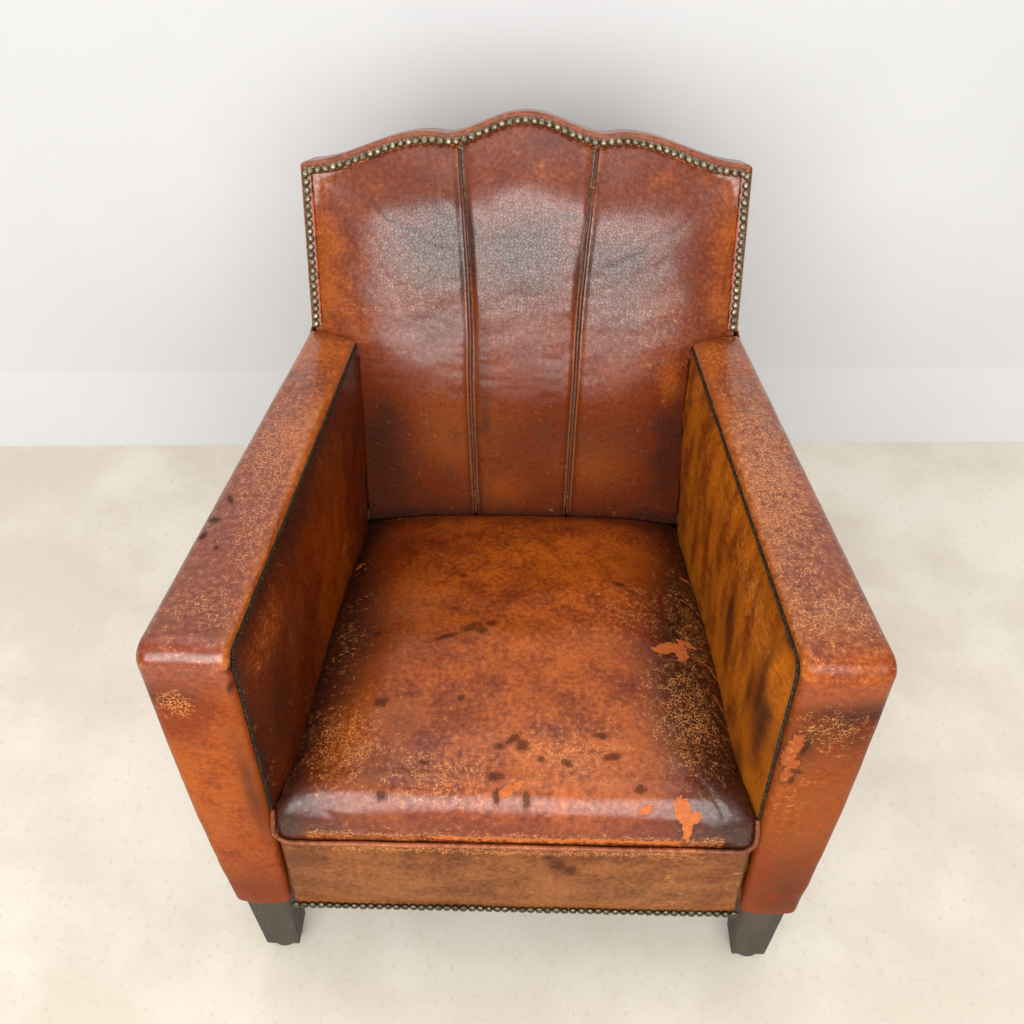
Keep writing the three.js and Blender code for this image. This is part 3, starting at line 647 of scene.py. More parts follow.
def wobble(x, y, size, seed):
    """Uneven hand work: smooth waves of about the given size, between -1 and 1."""
    waves = np.random.default_rng(seed)
    total = np.zeros(np.broadcast(x, y).shape)
    for _ in range(7):
        turn = waves.uniform(0, 2 * math.pi)
        length = size * waves.uniform(0.7, 1.6)
        total += np.sin(
            2 * math.pi * (x * math.cos(turn) + y * math.sin(turn)) / length + waves.uniform(0, 6.3)
        )
    return total / 4


def spots(x, y, marks):
    """Soft round or oval spots, each (x, y, half width, half height, strength)."""
    found = np.zeros(np.broadcast(x, y).shape)
    for cx, cy, rx, ry, strength in marks:
        found = np.maximum(found, strength * np.exp(-(((x - cx) / rx) ** 2) - ((y - cy) / ry) ** 2))
    return found


def splashes(x, y, marks):
    """Hard-edged marks, each (x, y, half length, half width, turn in degrees), 0.5 at the edge."""
    found = np.zeros(np.broadcast(x, y).shape)
    for cx, cy, rx, ry, turn in marks:
        c, s = math.cos(math.radians(turn)), math.sin(math.radians(turn))
        u = ((x - cx) * c + (y - cy) * s) / rx
        v = ((y - cy) * c - (x - cx) * s) / ry
        found = np.maximum(found, clip(1 - 0.5 * np.hypot(u, v)))
    return found


def creased(x, y, lines, width=4.0):
    """Folds along lines of points: 1 in the middle of each, falling off over the width."""
    found = np.zeros(np.broadcast(x, y).shape)
    for line in lines:
        for (ax, ay), (bx, by) in zip(line, line[1:]):
            t = clip(
                ((x - ax) * (bx - ax) + (y - ay) * (by - ay)) / ((bx - ax) ** 2 + (by - ay) ** 2)
            )
            distance = np.hypot(x - ax - t * (bx - ax), y - ay - t * (by - ay))
            found = np.maximum(found, np.exp(-((distance / width) ** 2)))
    return found


def shell_mesh(name, face, rear, masks, keep=None):
    """A closed mesh between two grids of points in millimetres, its face the first, with its masks.

    The keep grid says which cells the leather was cut to.
    """
    rows, columns = face.shape[:2]
    count = rows * columns
    index = np.arange(count).reshape(rows, columns)
    cells = np.stack([index[:-1, :-1], index[1:, :-1], index[1:, 1:], index[:-1, 1:]], -1)
    cells = cells.reshape(-1, 4) if keep is None else cells[keep]
    sides = np.concatenate([cells[:, [k, (k + 1) % 4]] for k in range(4)])
    there, back_again = sides[:, 0] * count + sides[:, 1], sides[:, 1] * count + sides[:, 0]
    rim = sides[~np.isin(there, back_again)]
    walls = np.stack([rim[:, 1], rim[:, 0], rim[:, 0] + count, rim[:, 1] + count], -1)
    quads = np.concatenate([cells, cells[:, ::-1] + count, walls])
    used, fresh = np.unique(quads, return_inverse=True)
    quads = fresh.reshape(-1, 4)
    middle = (rows // 2, columns // 2)
    if np.dot(grid_normals(face)[middle], (face - rear)[middle]) < 0:
        quads = quads[:, ::-1]
    points = np.concatenate([face.reshape(-1, 3), rear.reshape(-1, 3)])[used] * MM
    points[:, 1] += FRONT
    mesh = bpy.data.meshes.new(name)
    mesh.vertices.add(len(points))
    mesh.vertices.foreach_set("co", points.ravel())
    mesh.loops.add(quads.size)
    mesh.loops.foreach_set("vertex_index", quads.ravel().astype(np.int32))
    mesh.polygons.add(len(quads))
    mesh.polygons.foreach_set("loop_start", np.arange(0, quads.size, 4, dtype=np.int32))
    mesh.update(calc_edges=True)
    lengths = np.linalg.norm(np.diff(face, axis=0), axis=2).mean(axis=1)
    widths = np.linalg.norm(np.diff(face, axis=1), axis=2).mean(axis=0)
    u = np.concatenate([[0], np.cumsum(lengths)]) * MM
    v = np.concatenate([[0], np.cumsum(widths)]) * MM
    cut = np.tile(np.stack(np.meshgrid(u, v, indexing="ij"), -1).reshape(-1, 2), (2, 1))[used]
    cut += sum(map(ord, name)) % 17  # another part of the hide for each piece
    mesh.uv_layers.new(name="cut").data.foreach_set("uv", cut[quads.ravel()].ravel())
    for mask in SKIN_MASKS:
        values = np.broadcast_to(masks.get(mask, mask == "wax"), (rows, columns)).reshape(-1)
        layer = mesh.attributes.new(mask, "FLOAT", "POINT")
        layer.data.foreach_set("value", np.tile(values, 2)[used].astype(np.float32))
    mesh.validate()
    return mesh


def leather_shell(name, face, inside, masks, keep=None):
    normal = grid_normals(face)
    if np.sum(normal * (face - np.array(inside))) < 0:
        normal = -normal
    return shell_mesh(name, face, face - normal * LEATHER, masks, keep)


def strip_section(inner, outer):
    """Across the strip, from the sewn to the outer edge: x and the depth below the arm's top."""
    turn = np.linspace(0, np.pi / 2, 9)
    top = np.linspace(0, 1, 26)[1:-1]
    x = [inner, inner, *(inner + 9 - 9 * np.cos(turn)), *(inner + 9 + (outer - 23 - inner) * top)]
    depth = [13, 11, *(9 - 9 * np.sin(turn)), *(-2.2 * np.sin(np.pi * top))]
    x += [*(outer - 14 + 14 * np.sin(turn)), outer, outer]
    depth += [*(14 - 14 * np.cos(turn)), 16.5, 18]
    return np.array(x), np.array(depth)


def arm_strip_rows():
    """Stations along the strip: where it is, which way is out, and its two edges."""
    rows = []
    for y in spaced(ARM_LENGTH, ARM_ROLL, 4.2):
        rows.append((y, arm_top(y), (0, 1), seam_x(y), outer_x(y, 600)))
    for angle in np.linspace(np.pi / 2, np.pi, 14)[1:-1]:
        y = ARM_ROLL * (1 + math.cos(angle))
        rows.append(
            (
                y, ROLL_CENTRE + ARM_ROLL * math.sin(angle), (math.cos(angle), math.sin(angle)),
                seam_x(y), outer_x(y, 600),
            )
        )
    for z in spaced(ROLL_CENTRE, BODY_BOTTOM, 4.2):
        rows.append((0.0, z, (-1, 0), front_inner_x(z), outer_x(0, z)))
    return rows


def arm_strip(side, sign, paint):
    face, places = [], []
    for y, z, out, inner, outer in arm_strip_rows():
        x, depth = strip_section(inner, outer)
        face.append(np.stack([sign * x, y - out[0] * depth, z - out[1] * depth], -1))
        places.append(np.stack([x, np.full_like(x, y), np.full_like(x, z)], -1))
    face, places = np.array(face), np.array(places)
    x, y, z = places[..., 0], places[..., 1], places[..., 2]
    run = np.where(y > 0.01, y, z - ROLL_CENTRE - 12)  # along the strip: below 0 on the front
    core = (sign * 310, 300, 300)
    normal = grid_normals(face)
    if np.sum(normal * (face - np.array(core))) < 0:
        normal = -normal
    inner, outer = seam_x(y), outer_x(y, 600)
    middle = rise((x - inner) / 14) * rise((outer - x) / 18)
    face[..., 2] -= 15 * clip((y - 576) / 36) ** 2 * clip((outer - x - 6) / 60) * (y > 0)
    lumps = 0.8 * wobble(x, run, 90, 11 + sign) + 0.5 * wobble(x, run, 40, 15 + sign)
    face = face + normal * (lumps * middle)[..., None]
    material, masks = paint(x, y, z, run, inner)
    mesh = leather_shell(side + "_arm_strip", face, core, masks)
    stands_for = [side + "_arm_strip_leather", side + "_arm_pad"]
    piece = finished(side + "_arm_strip", mesh, material, stands_for)


def left_strip_paint(x, y, z, run, inner):
    front = clip(-run / 60)
    rub = np.exp(-((x - inner) / 10) ** 2) * (run > 0)
    tan = 0.30 + 0.45 * rub + spots(
        x, run, [(262, 560, 30, 90, 0.4), (310, 550, 60, 60, 0.3), (262, 400, 22, 70, 0.35)]
    )
    tan = tan * (1 - front) + front * (
        0.55 - 0.5 * spots(x, z, [(345, 560, 40, 55, 1.0), (325, 190, 60, 50, 0.5)])
    )
    dark = 0.10 + spots(
        x, run, [(335, 205, 30, 70, 0.35), (300, 40, 50, 40, 0.35), (345, 60, 30, 60, 0.25)]
    ) * (run > 0)
    dark = dark + front * (
        0.2 + spots(
            x, z, [(350, 585, 45, 30, 0.5), (288, 400, 9, 110, 0.4), (320, 190, 70, 50, 0.2)]
        )
    )
    crackle = 0.28 + 0.45 * spots(
        x, run, [(290, 320, 40, 130, 1.0), (300, 60, 60, 30, 0.7), (285, 190, 18, 80, 0.9)]
    )
    crackle = crackle * (run > 0) + front * spots(
        x, z, [(340, 565, 28, 28, 0.85), (300, 500, 30, 60, 0.15)]
    )
    stain = splashes(
        x,
        run,
        [(332, 197, 10, 5, 20), (323, 232, 13, 4, 60), (338, 170, 5, 9, 0), (318, 150, 4, 6, 0)],
    )
    stain = np.maximum(stain, splashes(x, run, [(274, -14, 5, 9, 0), (278, -38, 3.5, 11, 10)]))
    masks = {
        "tan": tan, "dark": dark, "crackle": crackle, "stain": stain, "crinkle": 0.15,
        "wax": 1 - 0.93 * front,
    }
    return sheepskin(
        "left arm sheepskin", (0.19, 0.031, 0.006), (0.35, 0.080, 0.009), pale=(0.70, 0.27, 0.08),
        wax=1.0,
    ), masks


def right_strip_paint(x, y, z, run, inner):
    front = clip(-run / 60)
    rub = np.exp(-((x - inner) / 12) ** 2) * (run > 0)
    tan = 0.32 + 0.45 * rub + spots(
        x, run, [(262, 560, 30, 90, 0.5), (310, 545, 60, 70, 0.4), (270, 400, 26, 90, 0.35)]
    )
    tan = tan * (1 - front) + front * (
        0.5 - 0.35 * spots(x, z, [(350, 560, 40, 60, 1.0), (330, 190, 60, 60, 0.8)])
    )
    dark = 0.10 + spots(x, run, [(286, 146, 16, 20, 0.3), (315, 90, 50, 50, 0.2)]) * (run > 0)
    dark = dark + front * (
        0.3 + spots(
            x, z, [(340, 560, 50, 50, 0.4), (300, 540, 25, 50, 0.3), (335, 230, 50, 90, 0.2)]
        )
    )
    crackle = 0.30 + 0.45 * spots(x, run, [(286, 280, 40, 200, 1.0), (310, 70, 60, 40, 0.9)])
    crackle = crackle * (run > 0) + front * spots(
        x, z, [(320, 540, 45, 50, 0.55), (300, 420, 30, 90, 0.35)]
    )
    bare = splashes(x, z, [(286, 503, 32, 7.5, 83), (289, 466, 24, 6.5, 80)]) * (y < 0.01)
    stain = splashes(
        x, z, [(297, 508, 18, 3.5, 80), (296, 466, 9, 6, 0), (294, 448, 4, 10, 0)]
    ) * (y < 0.01)
    ring = np.hypot(x - 307, z - 370)
    stain = np.maximum(stain, (0.62 - 0.25 * np.abs(ring - 7)) * (y < 0.01) * (ring < 12))
    wax = (1 - 0.93 * front) * (1 - 0.7 * np.exp(-((run / 30) ** 2)))
    masks = {
        "tan": tan, "dark": dark, "crackle": crackle, "bare": bare, "stain": clip(stain),
        "crinkle": 0.15, "wax": wax,
    }
    return sheepskin(
        "right arm sheepskin", (0.19, 0.032, 0.006), (0.32, 0.072, 0.008), pale=(0.74, 0.31, 0.09),
        suede=(0.26, 0.058, 0.014), wax=1.0,
    ), masks


arm_strip("left", -1, left_strip_paint)
arm_strip("right", 1, right_strip_paint)

# ---- The inside arms ----
# A stuffed panel of sheepskin on the inner face of each arm, sewn to the strip along its top and
# down its front, and pulled through beside the seat to the tack rail.


def inside_arm_top(y):
    follows_roll = ROLL_CENTRE + np.sqrt(np.maximum(0, 110 - (ARM_ROLL - y) ** 2))
    return np.where(y < ARM_ROLL, follows_roll, arm_top(y) - 14.5)


def inside_arm_x(y, z):
    edge = seam_x(y) + 7 * clip(
        (ROLL_CENTRE - z) / (ROLL_CENTRE - BODY_BOTTOM)
    ) ** 1.2 * (1 - y / BACK_Y)
    stuffing = (9 - 3 * y / BACK_Y) * rise((y - 12) / 45) * rise((inside_arm_top(y) - z) / 60)
    return edge - stuffing


def face_y(z):
    return BACK_Y + (z - BACK_Z) * math.tan(BACK_RAKE)


def resampled(values, u, v):
    """Smooth values at places u and v, from 0 to 1, of an even grid of them."""
    def one_way(table, t):
        t = clip(t) * (len(table) - 1)
        i = np.minimum(t.astype(int), len(table) - 2)
        f = (t - i)[:, None]
        before, here, after, next_one = (
            table[np.clip(i + k, 0, len(table) - 1)] for k in (-1, 0, 1, 2)
        )
        slope_in, slope_out = (after - before) / 2, (next_one - here) / 2
        return (
            here * (2 * f**3 - 3 * f**2 + 1)
            + slope_in * (f**3 - 2 * f**2 + f)
            + after * (3 * f**2 - 2 * f**3)
            + slope_out * (f**3 - f**2)
        )
    across = one_way(values.reshape(len(values), -1), u).reshape(len(u), values.shape[1])
    return one_way(across.T, v).T


def swollen(grid, held, slack, pressure, cap):
    """How far stuffing pushes out each point of a sheet, held where held is 1, up to the cap."""
    rows, columns = held.shape
    index = np.arange(rows * columns).reshape(rows, columns)
    quads = np.stack(
        [index[:-1, :-1], index[1:, :-1], index[1:, 1:], index[:-1, 1:]], -1
    ).reshape(-1, 4)
    mesh = bpy.data.meshes.new("sheet")
    mesh.from_pydata((grid.reshape(-1, 3) * MM).tolist(), [], quads.tolist())
    sheet = bpy.data.objects.new("sheet", mesh)
    bpy.context.scene.collection.objects.link(sheet)
    group = sheet.vertex_groups.new(name="held")
    for i, weight in enumerate(held.ravel()):
        group.add([i], float(weight), "REPLACE")
    cloth = sheet.modifiers.new("stuffing", "CLOTH")
    settings = cloth.settings
    settings.quality = 6
    settings.mass = 0.4
    settings.tension_stiffness = 40
    settings.compression_stiffness = 40
    settings.shear_stiffness = 20
    settings.bending_stiffness = 4
    settings.air_damping = 6
    settings.vertex_group_mass = "held"
    settings.shrink_min = -slack
    settings.use_pressure = True
    settings.uniform_pressure_force = pressure
    settings.effector_weights.gravity = 0
    cloth.collision_settings.use_collision = False
    scene = bpy.context.scene
    for step in range(1, 21):
        scene.frame_set(step)
    found = sheet.evaluated_get(bpy.context.evaluated_depsgraph_get()).data
    moved = np.zeros(rows * columns * 3)
    found.vertices.foreach_get("co", moved)
    push = moved.reshape(rows, columns, 3) / MM - grid
    scene.frame_set(1)
    bpy.data.objects.remove(sheet)
    bpy.data.meshes.remove(mesh)
    push = np.sum(push * grid_normals(grid), axis=2)
    return cap * np.tanh(push / cap)


def held_edges(rows, columns, lines=()):
    held = np.zeros((rows, columns))
    held[[0, -1], :] = 1
    held[:, [0, -1]] = 1
    for column in lines:
        held[:, column] = 1
    return held


def inside_arm_grid(along, up, sign):
    along, up = np.meshgrid(along, up, indexing="ij")
    top = inside_arm_top(14.5 + along * 590)
    z = 262 + (top - 262) * np.sin(np.pi / 2 * up)
    y = 14.5 + along * (np.minimum(face_y(z) - 5, 606) - 14.5)
    z = np.minimum(z, inside_arm_top(y))
    return np.stack([sign * inside_arm_x(y, z), y, z], -1)


def inside_arm(side, sign, paint):
    rows, columns = 50, 26
    coarse = inside_arm_grid(np.linspace(0, 1, rows), np.linspace(0, 1, columns), sign)
    towards_seat = -sign * grid_normals(coarse)[rows // 2, columns // 2, 0]
    if towards_seat < 0:
        coarse = coarse[:, ::-1]
    push = swollen(coarse, held_edges(rows, columns), 0.004, 5.0, 5.0)
    if towards_seat < 0:
        push = push[:, ::-1]
    along = spaced(0, 590, 3.8) / 590
    up = spaced(0, 350, 3.8) / 350
    up = np.arcsin(np.clip(up, 0, 1)) / (np.pi / 2) * 0.4 + up * 0.6
    face = inside_arm_grid(along, up, sign)
    y, z = face[..., 1], face[..., 2]
    top = inside_arm_top(y)
    middle = rise((y - 14.5) / 30) * rise((top - z) / 30)
    out = resampled(push, along, up) * middle
    out += (1.2 * wobble(y, z, 110, 31 + sign) + 0.6 * wobble(y, z, 45, 33 + sign)) * middle
    # The thread draws the edge in between its stitches.
    puckers = np.sin(2 * np.pi * (y + z * (y < 30)) / 13) * np.exp(
        -np.minimum(top - z, 3 * (y - 14.5)) / 9
    )
    out += 0.35 * puckers * rise((top - z) / 3)
    face[..., 0] -= sign * out
    material, masks = paint(y, z, top)
    mesh = leather_shell(side + "_inside_arm", face, (sign * 330, 300, 420), masks)
    pieces = [side + "_inside_arm_leather"]
    piece = finished(side + "_inside_arm", mesh, material, pieces)


def left_inside_paint(y, z, top):
    sewn = np.exp(-((top - z) / 16) ** 2)
    front = np.exp(-((y - 14) / 14) ** 2)
    # Painted shade along the seams with the strip: along the top (sewn) and down the front (front).
    dark = 0.42 + 0.45 * sewn + 0.25 * front + spots(
        y, z, [(230, 600, 140, 34, 0.35), (60, 470, 50, 90, 0.25)]
    )
    dark -= spots(y, z, [(330, 440, 130, 110, 0.35), (90, 575, 50, 26, 0.22)])
    tan = 0.35 + spots(y, z, [(330, 430, 110, 100, 0.35), (90, 575, 50, 26, 0.3)])
    crackle = 0.1 + spots(y, z, [(80, 575, 60, 30, 0.35)])
    wax = 0.15 + 0.85 * np.exp(-((top - z) / 70) ** 2)
    masks = {"tan": tan, "dark": dark, "crackle": crackle, "crinkle": 0.25, "wax": wax}
    # Darker browns than the right inside arm's, and a darker dark base above: partly the leather's
    # own dye, partly painted shade, as this face is turned from the light.
    return sheepskin(
        "left inside arm sheepskin", (0.095, 0.012, 0.0015), (0.21, 0.036, 0.002), scored=0.33,
        grain=62.0, wax=1.0,
    ), masks


def right_inside_paint(y, z, top):
    sewn = np.exp(-((top - z) / 9) ** 2)
    streaks = spots(
        y, z, [(193, 485, 26, 70, 0.55), (150, 470, 14, 80, 0.35), (250, 520, 16, 70, 0.3)]
    )
    # Painted shade along the seam with the strip (sewn).
    dark = 0.10 + 0.35 * sewn + streaks + spots(
        y, z, [(120, 590, 60, 20, 0.3), (50, 480, 60, 130, 0.55), (575, 480, 20, 160, 0.2)]
    )
    dark += 0.16 * wobble(y, z / 6, 26, 6) + 0.12 * wobble(y, z / 2, 60, 7)
    tan = 0.62 + 0.3 * wobble(y, z / 4, 40, 5)
    crackle = 0.15 + spots(y, z, [(150, 570, 120, 26, 0.4)])
    masks = {"tan": tan, "dark": dark, "crackle": crackle, "crinkle": 0.15, "wax": 0.3}
    return sheepskin(
        "right inside arm sheepskin", (0.20, 0.043, 0.004), (0.42, 0.115, 0.006), scored=0.22,
        grain=78.0, wax=0.6,
    ), masks


inside_arm("left", -1, left_inside_paint)
inside_arm("right", 1, right_inside_paint)

# ---- The seat ----
# One piece of sheepskin over the springs and hair, crowned, rolled over the front edge and pulled
# down between the arms. It is the most worn part: cracked, stained and torn through in places.

SEAT_REAR, SEAT_CROWN, SEAT_FRONT, SEAT_ROLL = 352, 398, 384, 48
WELT_Z = 309
SEAT_LOWEST = WELT_Z + 4.5


def seat_half(y):
    return seam_x(y) - 8.5


def seat_profile(y):
    rear = SEAT_REAR + (SEAT_CROWN - SEAT_REAR) * rise((520 - y) / 300)
    front = SEAT_CROWN - (SEAT_CROWN - SEAT_FRONT) * ((220 - y) / 175) ** 2
    roll = SEAT_LOWEST + (SEAT_FRONT - SEAT_LOWEST) * np.sqrt(
        np.maximum(0, 1 - ((45 - y) / SEAT_ROLL) ** 2)
    )
    return np.where(y > 220, rear, np.where(y > 45, front, roll))


def seat_corner(across):
    """How far the front edge draws back at its two rounded corners."""
    return 6 * clip((np.abs(across) - 0.94) / 0.06) ** 2


def seat_grid(across, places):
    across, y = np.meshgrid(across, places, indexing="xy")
    profile = seat_profile(y)
    full = clip((90 - y) / 60)  # the front corners are filled out to the arms
    drop = (10 - 4 * full) * across**2 + (22 - 8 * full) * np.abs(across) ** (7 + 9 * full)
    drop = drop * clip((profile - WELT_Z) / 70)
    back = seat_corner(across) * clip((45 - y) / SEAT_ROLL)
    half = seat_half(y) + 3.5 * full + 7 * rise((24 - y) / 16)
    return np.stack([across * half, y + back, profile - drop], -1)


def seat_places(step):
    turn = np.linspace(0, np.pi / 2, max(6, round(88 / step)))
    return np.concatenate(
        [45 - SEAT_ROLL * np.cos(turn), np.linspace(45, 514, round(469 / step))[1:]]
    )


def seat():
    rows = np.linspace(0, 1, 46)
    path = seat_places(2.0)
    even = np.interp(rows, np.linspace(0, 1, len(path)), path)
    columns = np.linspace(-1, 1, 47)
    coarse = seat_grid(columns, even)
    push = swollen(coarse, held_edges(len(rows), len(columns)), 0.003, 6.0, 4.5)
    fine = seat_places(3.3)
    across = np.linspace(-1, 1, 158)
    across = np.sin(across * np.pi / 2) * 0.35 + across * 0.65  # closer together at the sides
    face = seat_grid(across, fine)
    share = np.interp(fine, even, rows)
    x, y, z = face[..., 0], face[..., 1], face[..., 2]
    half = seat_half(y)
    inset = half - np.abs(x)
    middle = rise(inset / 40) * rise((z - SEAT_LOWEST) / 30) * rise((514 - y) / 40)
    out = resampled(push, share, (across + 1) / 2) * middle
    out += (1.4 * wobble(x, y, 130, 41) + 0.7 * wobble(x, y, 60, 42)) * middle
    # Small drawn folds run in from the two sides, where the leather is pulled down to the rails.
    edge = np.exp(-inset / 26) * rise(inset / 5)
    out += 1.5 * wobble(y, x * 0.12, 26, 43) * edge * rise((y - 20) / 60)
    # And some up from the welt, over the front roll.
    low = np.exp(-(z - SEAT_LOWEST) / 16) * rise((z - SEAT_LOWEST) / 3) * (y < 45)
    out += 0.9 * wobble(x, z * 0.2, 30, 44) * low
    cuts = creased(x, y, SEAT_CUTS, 2.6)
    out -= 0.8 * cuts
    normal = grid_normals(face)
    normal *= np.sign(normal[len(face) // 2, len(across) // 2, 2])
    face = face + normal * out[..., None]
    masks = seat_masks(x, y, z, inset, cuts)
    material = sheepskin(
        "seat sheepskin", (0.15, 0.021, 0.003), (0.37, 0.078, 0.006), pale=(0.68, 0.27, 0.07),
        suede=(0.40, 0.10, 0.026), scored=0.16, grain=80.0, wax=1.0,
    )
    mesh = leather_shell("seat", face, (0, 250, 150), masks)
    piece = finished("seat", mesh, material, ["seat_leather", "seat_pad"])


SEAT_CUTS = [
    [(-238, 392), (-222, 396), (-206, 405)],
    [(-236, 380), (-214, 384)],
    [(-240, 300), (-222, 306), (-196, 318)],
    [(-243, 200), (-226, 214), (-205, 222)],
    [(-250, 120), (-230, 132), (-212, 130)],
    [(-232, 62), (-214, 70)],
    [(248, 372), (226, 380), (206, 388)],
    [(252, 300), (236, 316), (214, 326), (186, 330)],
    [(256, 262), (236, 272), (214, 276)],
    [(258, 190), (240, 210), (222, 218)],
    [(250, 150), (238, 170)],
    [(-200, 523), (-170, 500)],
    [(205, 480), (180, 462)],
    [(214, 440), (186, 424)],
    [(-214, 8), (-180, 0), (-150, -3)],
    [(-60, 8), (-84, 0), (-110, -3)],
    [(206, 44), (224, 26), (236, 12)],
    [(206, 2), (190, 0)],
]


SEAT_STAINS = [
    (-92, 231, 20, 4.5, 22), (-60, 248, 17, 8, 28), (-46, 243, 8, 8, 0), (-34, 256, 9, 7, 20),
    (-180, 241, 8, 6, 30), (-162, 133, 12, 7, 10), (-76, 350, 6, 6, 0), (132, 336, 12, 5, -25),
    (150, 322, 20, 2.2, -28), (-66, 140, 6, 5, 0), (-4, 84, 16, 5, 40), (8, 76, 10, 9, 0),
    (-18, 76, 10, 5, 0), (-22, 38, 12, 7, 0), (-20, 20, 5, 8, 0), (14, 18, 6, 9, 0),
    (100, 92, 12, 5, 0), (60, 56, 8, 6, 0), (112, 66, 14, 6, 20), (-150, 20, 8, 5, 0),
    (-105, 55, 8, 4, 0), (142, 30, 9, 5, 0), (30, 60, 6, 5, 0),
]
SEAT_TEARS = [
    (190, 226, 24, 9, 20), (205, 222, 9, 16, 0), (214, 238, 15, 4, -20), (228, 377, 8, 5, 0),
    (-10, 25, 11, 4.5, 25), (4, 30, 9, 3.5, 35), (-75, 30, 6, 2.5, 0), (-228, 398, 6, 3, 20),
    (189, 16, 9, 10, 60), (196, 6, 6, 9, 0), (204, 10, 7, 4, 0), (148, 14, 9, 3.5, 10),
]


def seat_masks(x, y, z, inset, cuts):
    rolled = clip((SEAT_FRONT - z) / 60) * (y < 60)
    tan = 0.48 + spots(
        x,
        y,
        [
            (10, 180, 120, 150, 0.18), (20, 400, 110, 60, 0.22), (60, 60, 110, 40, 0.28),
            (-185, 65, 40, 36, 0.12),
        ],
    )
    # Less tan towards the sides: painted shade where the seat runs down beside the arms.
    tan -= 0.45 * np.exp(-inset / 34) + 0.25 * rolled
    # Darker towards the sides and the rear: painted shade where the seat runs down beside the arms
    # and under the back.
    dark = 0.06 + 0.6 * np.exp(-inset / 20) + 0.5 * np.exp(-inset / 75) + 0.35 * np.exp(
        -(514 - y) / 34
    )
    dark += spots(
        x,
        y,
        [
            (-128, 105, 34, 45, 0.26), (-150, 250, 60, 90, 0.16), (-6, 304, 40, 20, 0.2),
            (-137, 47, 60, 26, 0.34),
        ],
    )
    dark += spots(
        x,
        y,
        [
            (110, 40, 70, 26, 0.16), (215, 20, 40, 26, 0.35), (225, 190, 66, 170, 0.85),
            (208, 115, 50, 80, 0.55), (150, 215, 50, 60, 0.15), (-215, 250, 50, 150, 0.36),
        ],
    )
    dark += 0.32 * rolled * clip((z - 326) / 12)
    crackle = 0.12 + spots(
        x,
        y,
        [
            (205, 130, 60, 110, 0.54), (225, 260, 40, 150, 0.5), (150, 290, 80, 60, 0.36),
            (-200, 75, 60, 60, 0.58), (-90, 40, 90, 40, 0.5),
        ],
    )
    crackle = np.maximum(
        crackle,
        spots(x, y, [(60, 70, 110, 50, 0.55), (-215, 230, 36, 110, 0.42), (0, 260, 80, 50, 0.2)]),
    )
    crackle *= 1 - 0.75 * rolled * clip((z - 340) / 10)
    band = np.exp(-(((z - 325) / 11.5) ** 2)) * (y < 20)
    crackle = np.maximum(crackle, 0.95 * band * (np.abs(x) < 240))
    bare = splashes(x, y, SEAT_TEARS)
    bare = np.maximum(bare, 0.64 * band * clip((x + 150) / 60) * clip((208 - x) / 20))
    bare = np.maximum(bare, 0.50 * band * clip((x + 215) / 20) * clip((-150 - x) / 20))
    bare = np.maximum(bare, 0.6 * cuts * (np.abs(x) > 150) * (y > 60))
    stain = splashes(x, y, SEAT_STAINS)
    ring = np.hypot(x + 90, y - 141)
    stain = np.maximum(stain, clip(0.56 - 0.12 * np.abs(ring - 8)) * (ring < 14))
    return {
        "tan": tan,
        "dark": dark,
        "crackle": crackle,
        "bare": bare,
        "stain": stain,
        "crinkle": 0.14 + 0.2 * np.exp(-inset / 40),
        "wax": 0.5 + 0.22 * clip((170 - y) / 90),
    }


seat()

# ---- The welt ----
# A cord wrapped in a thin strip of leather and sewn between the seat and its border. At its ends it
# turns up and goes down between the seat and the arms.


def smooth_path(points, step):
    """Points about a step apart on a smooth curve through the given ones."""
    points = np.array(points, float)
    length = np.concatenate([[0], np.cumsum(np.linalg.norm(np.diff(points, axis=0), axis=1))])
    wanted = np.linspace(0, length[-1], max(8, round(length[-1] / step)))
    i = np.clip(np.searchsorted(length, wanted) - 1, 0, len(points) - 2)
    f = ((wanted - length[i]) / (length[i + 1] - length[i]))[:, None]
    before, here, after, last = (points[np.clip(i + k, 0, len(points) - 1)] for k in (-1, 0, 1, 2))
    return 0.5 * (
        2 * here
        + (after - before) * f
        + (2 * before - 5 * here + 4 * after - last) * f**2
        + (3 * here - before - 3 * after + last) * f**3
    )


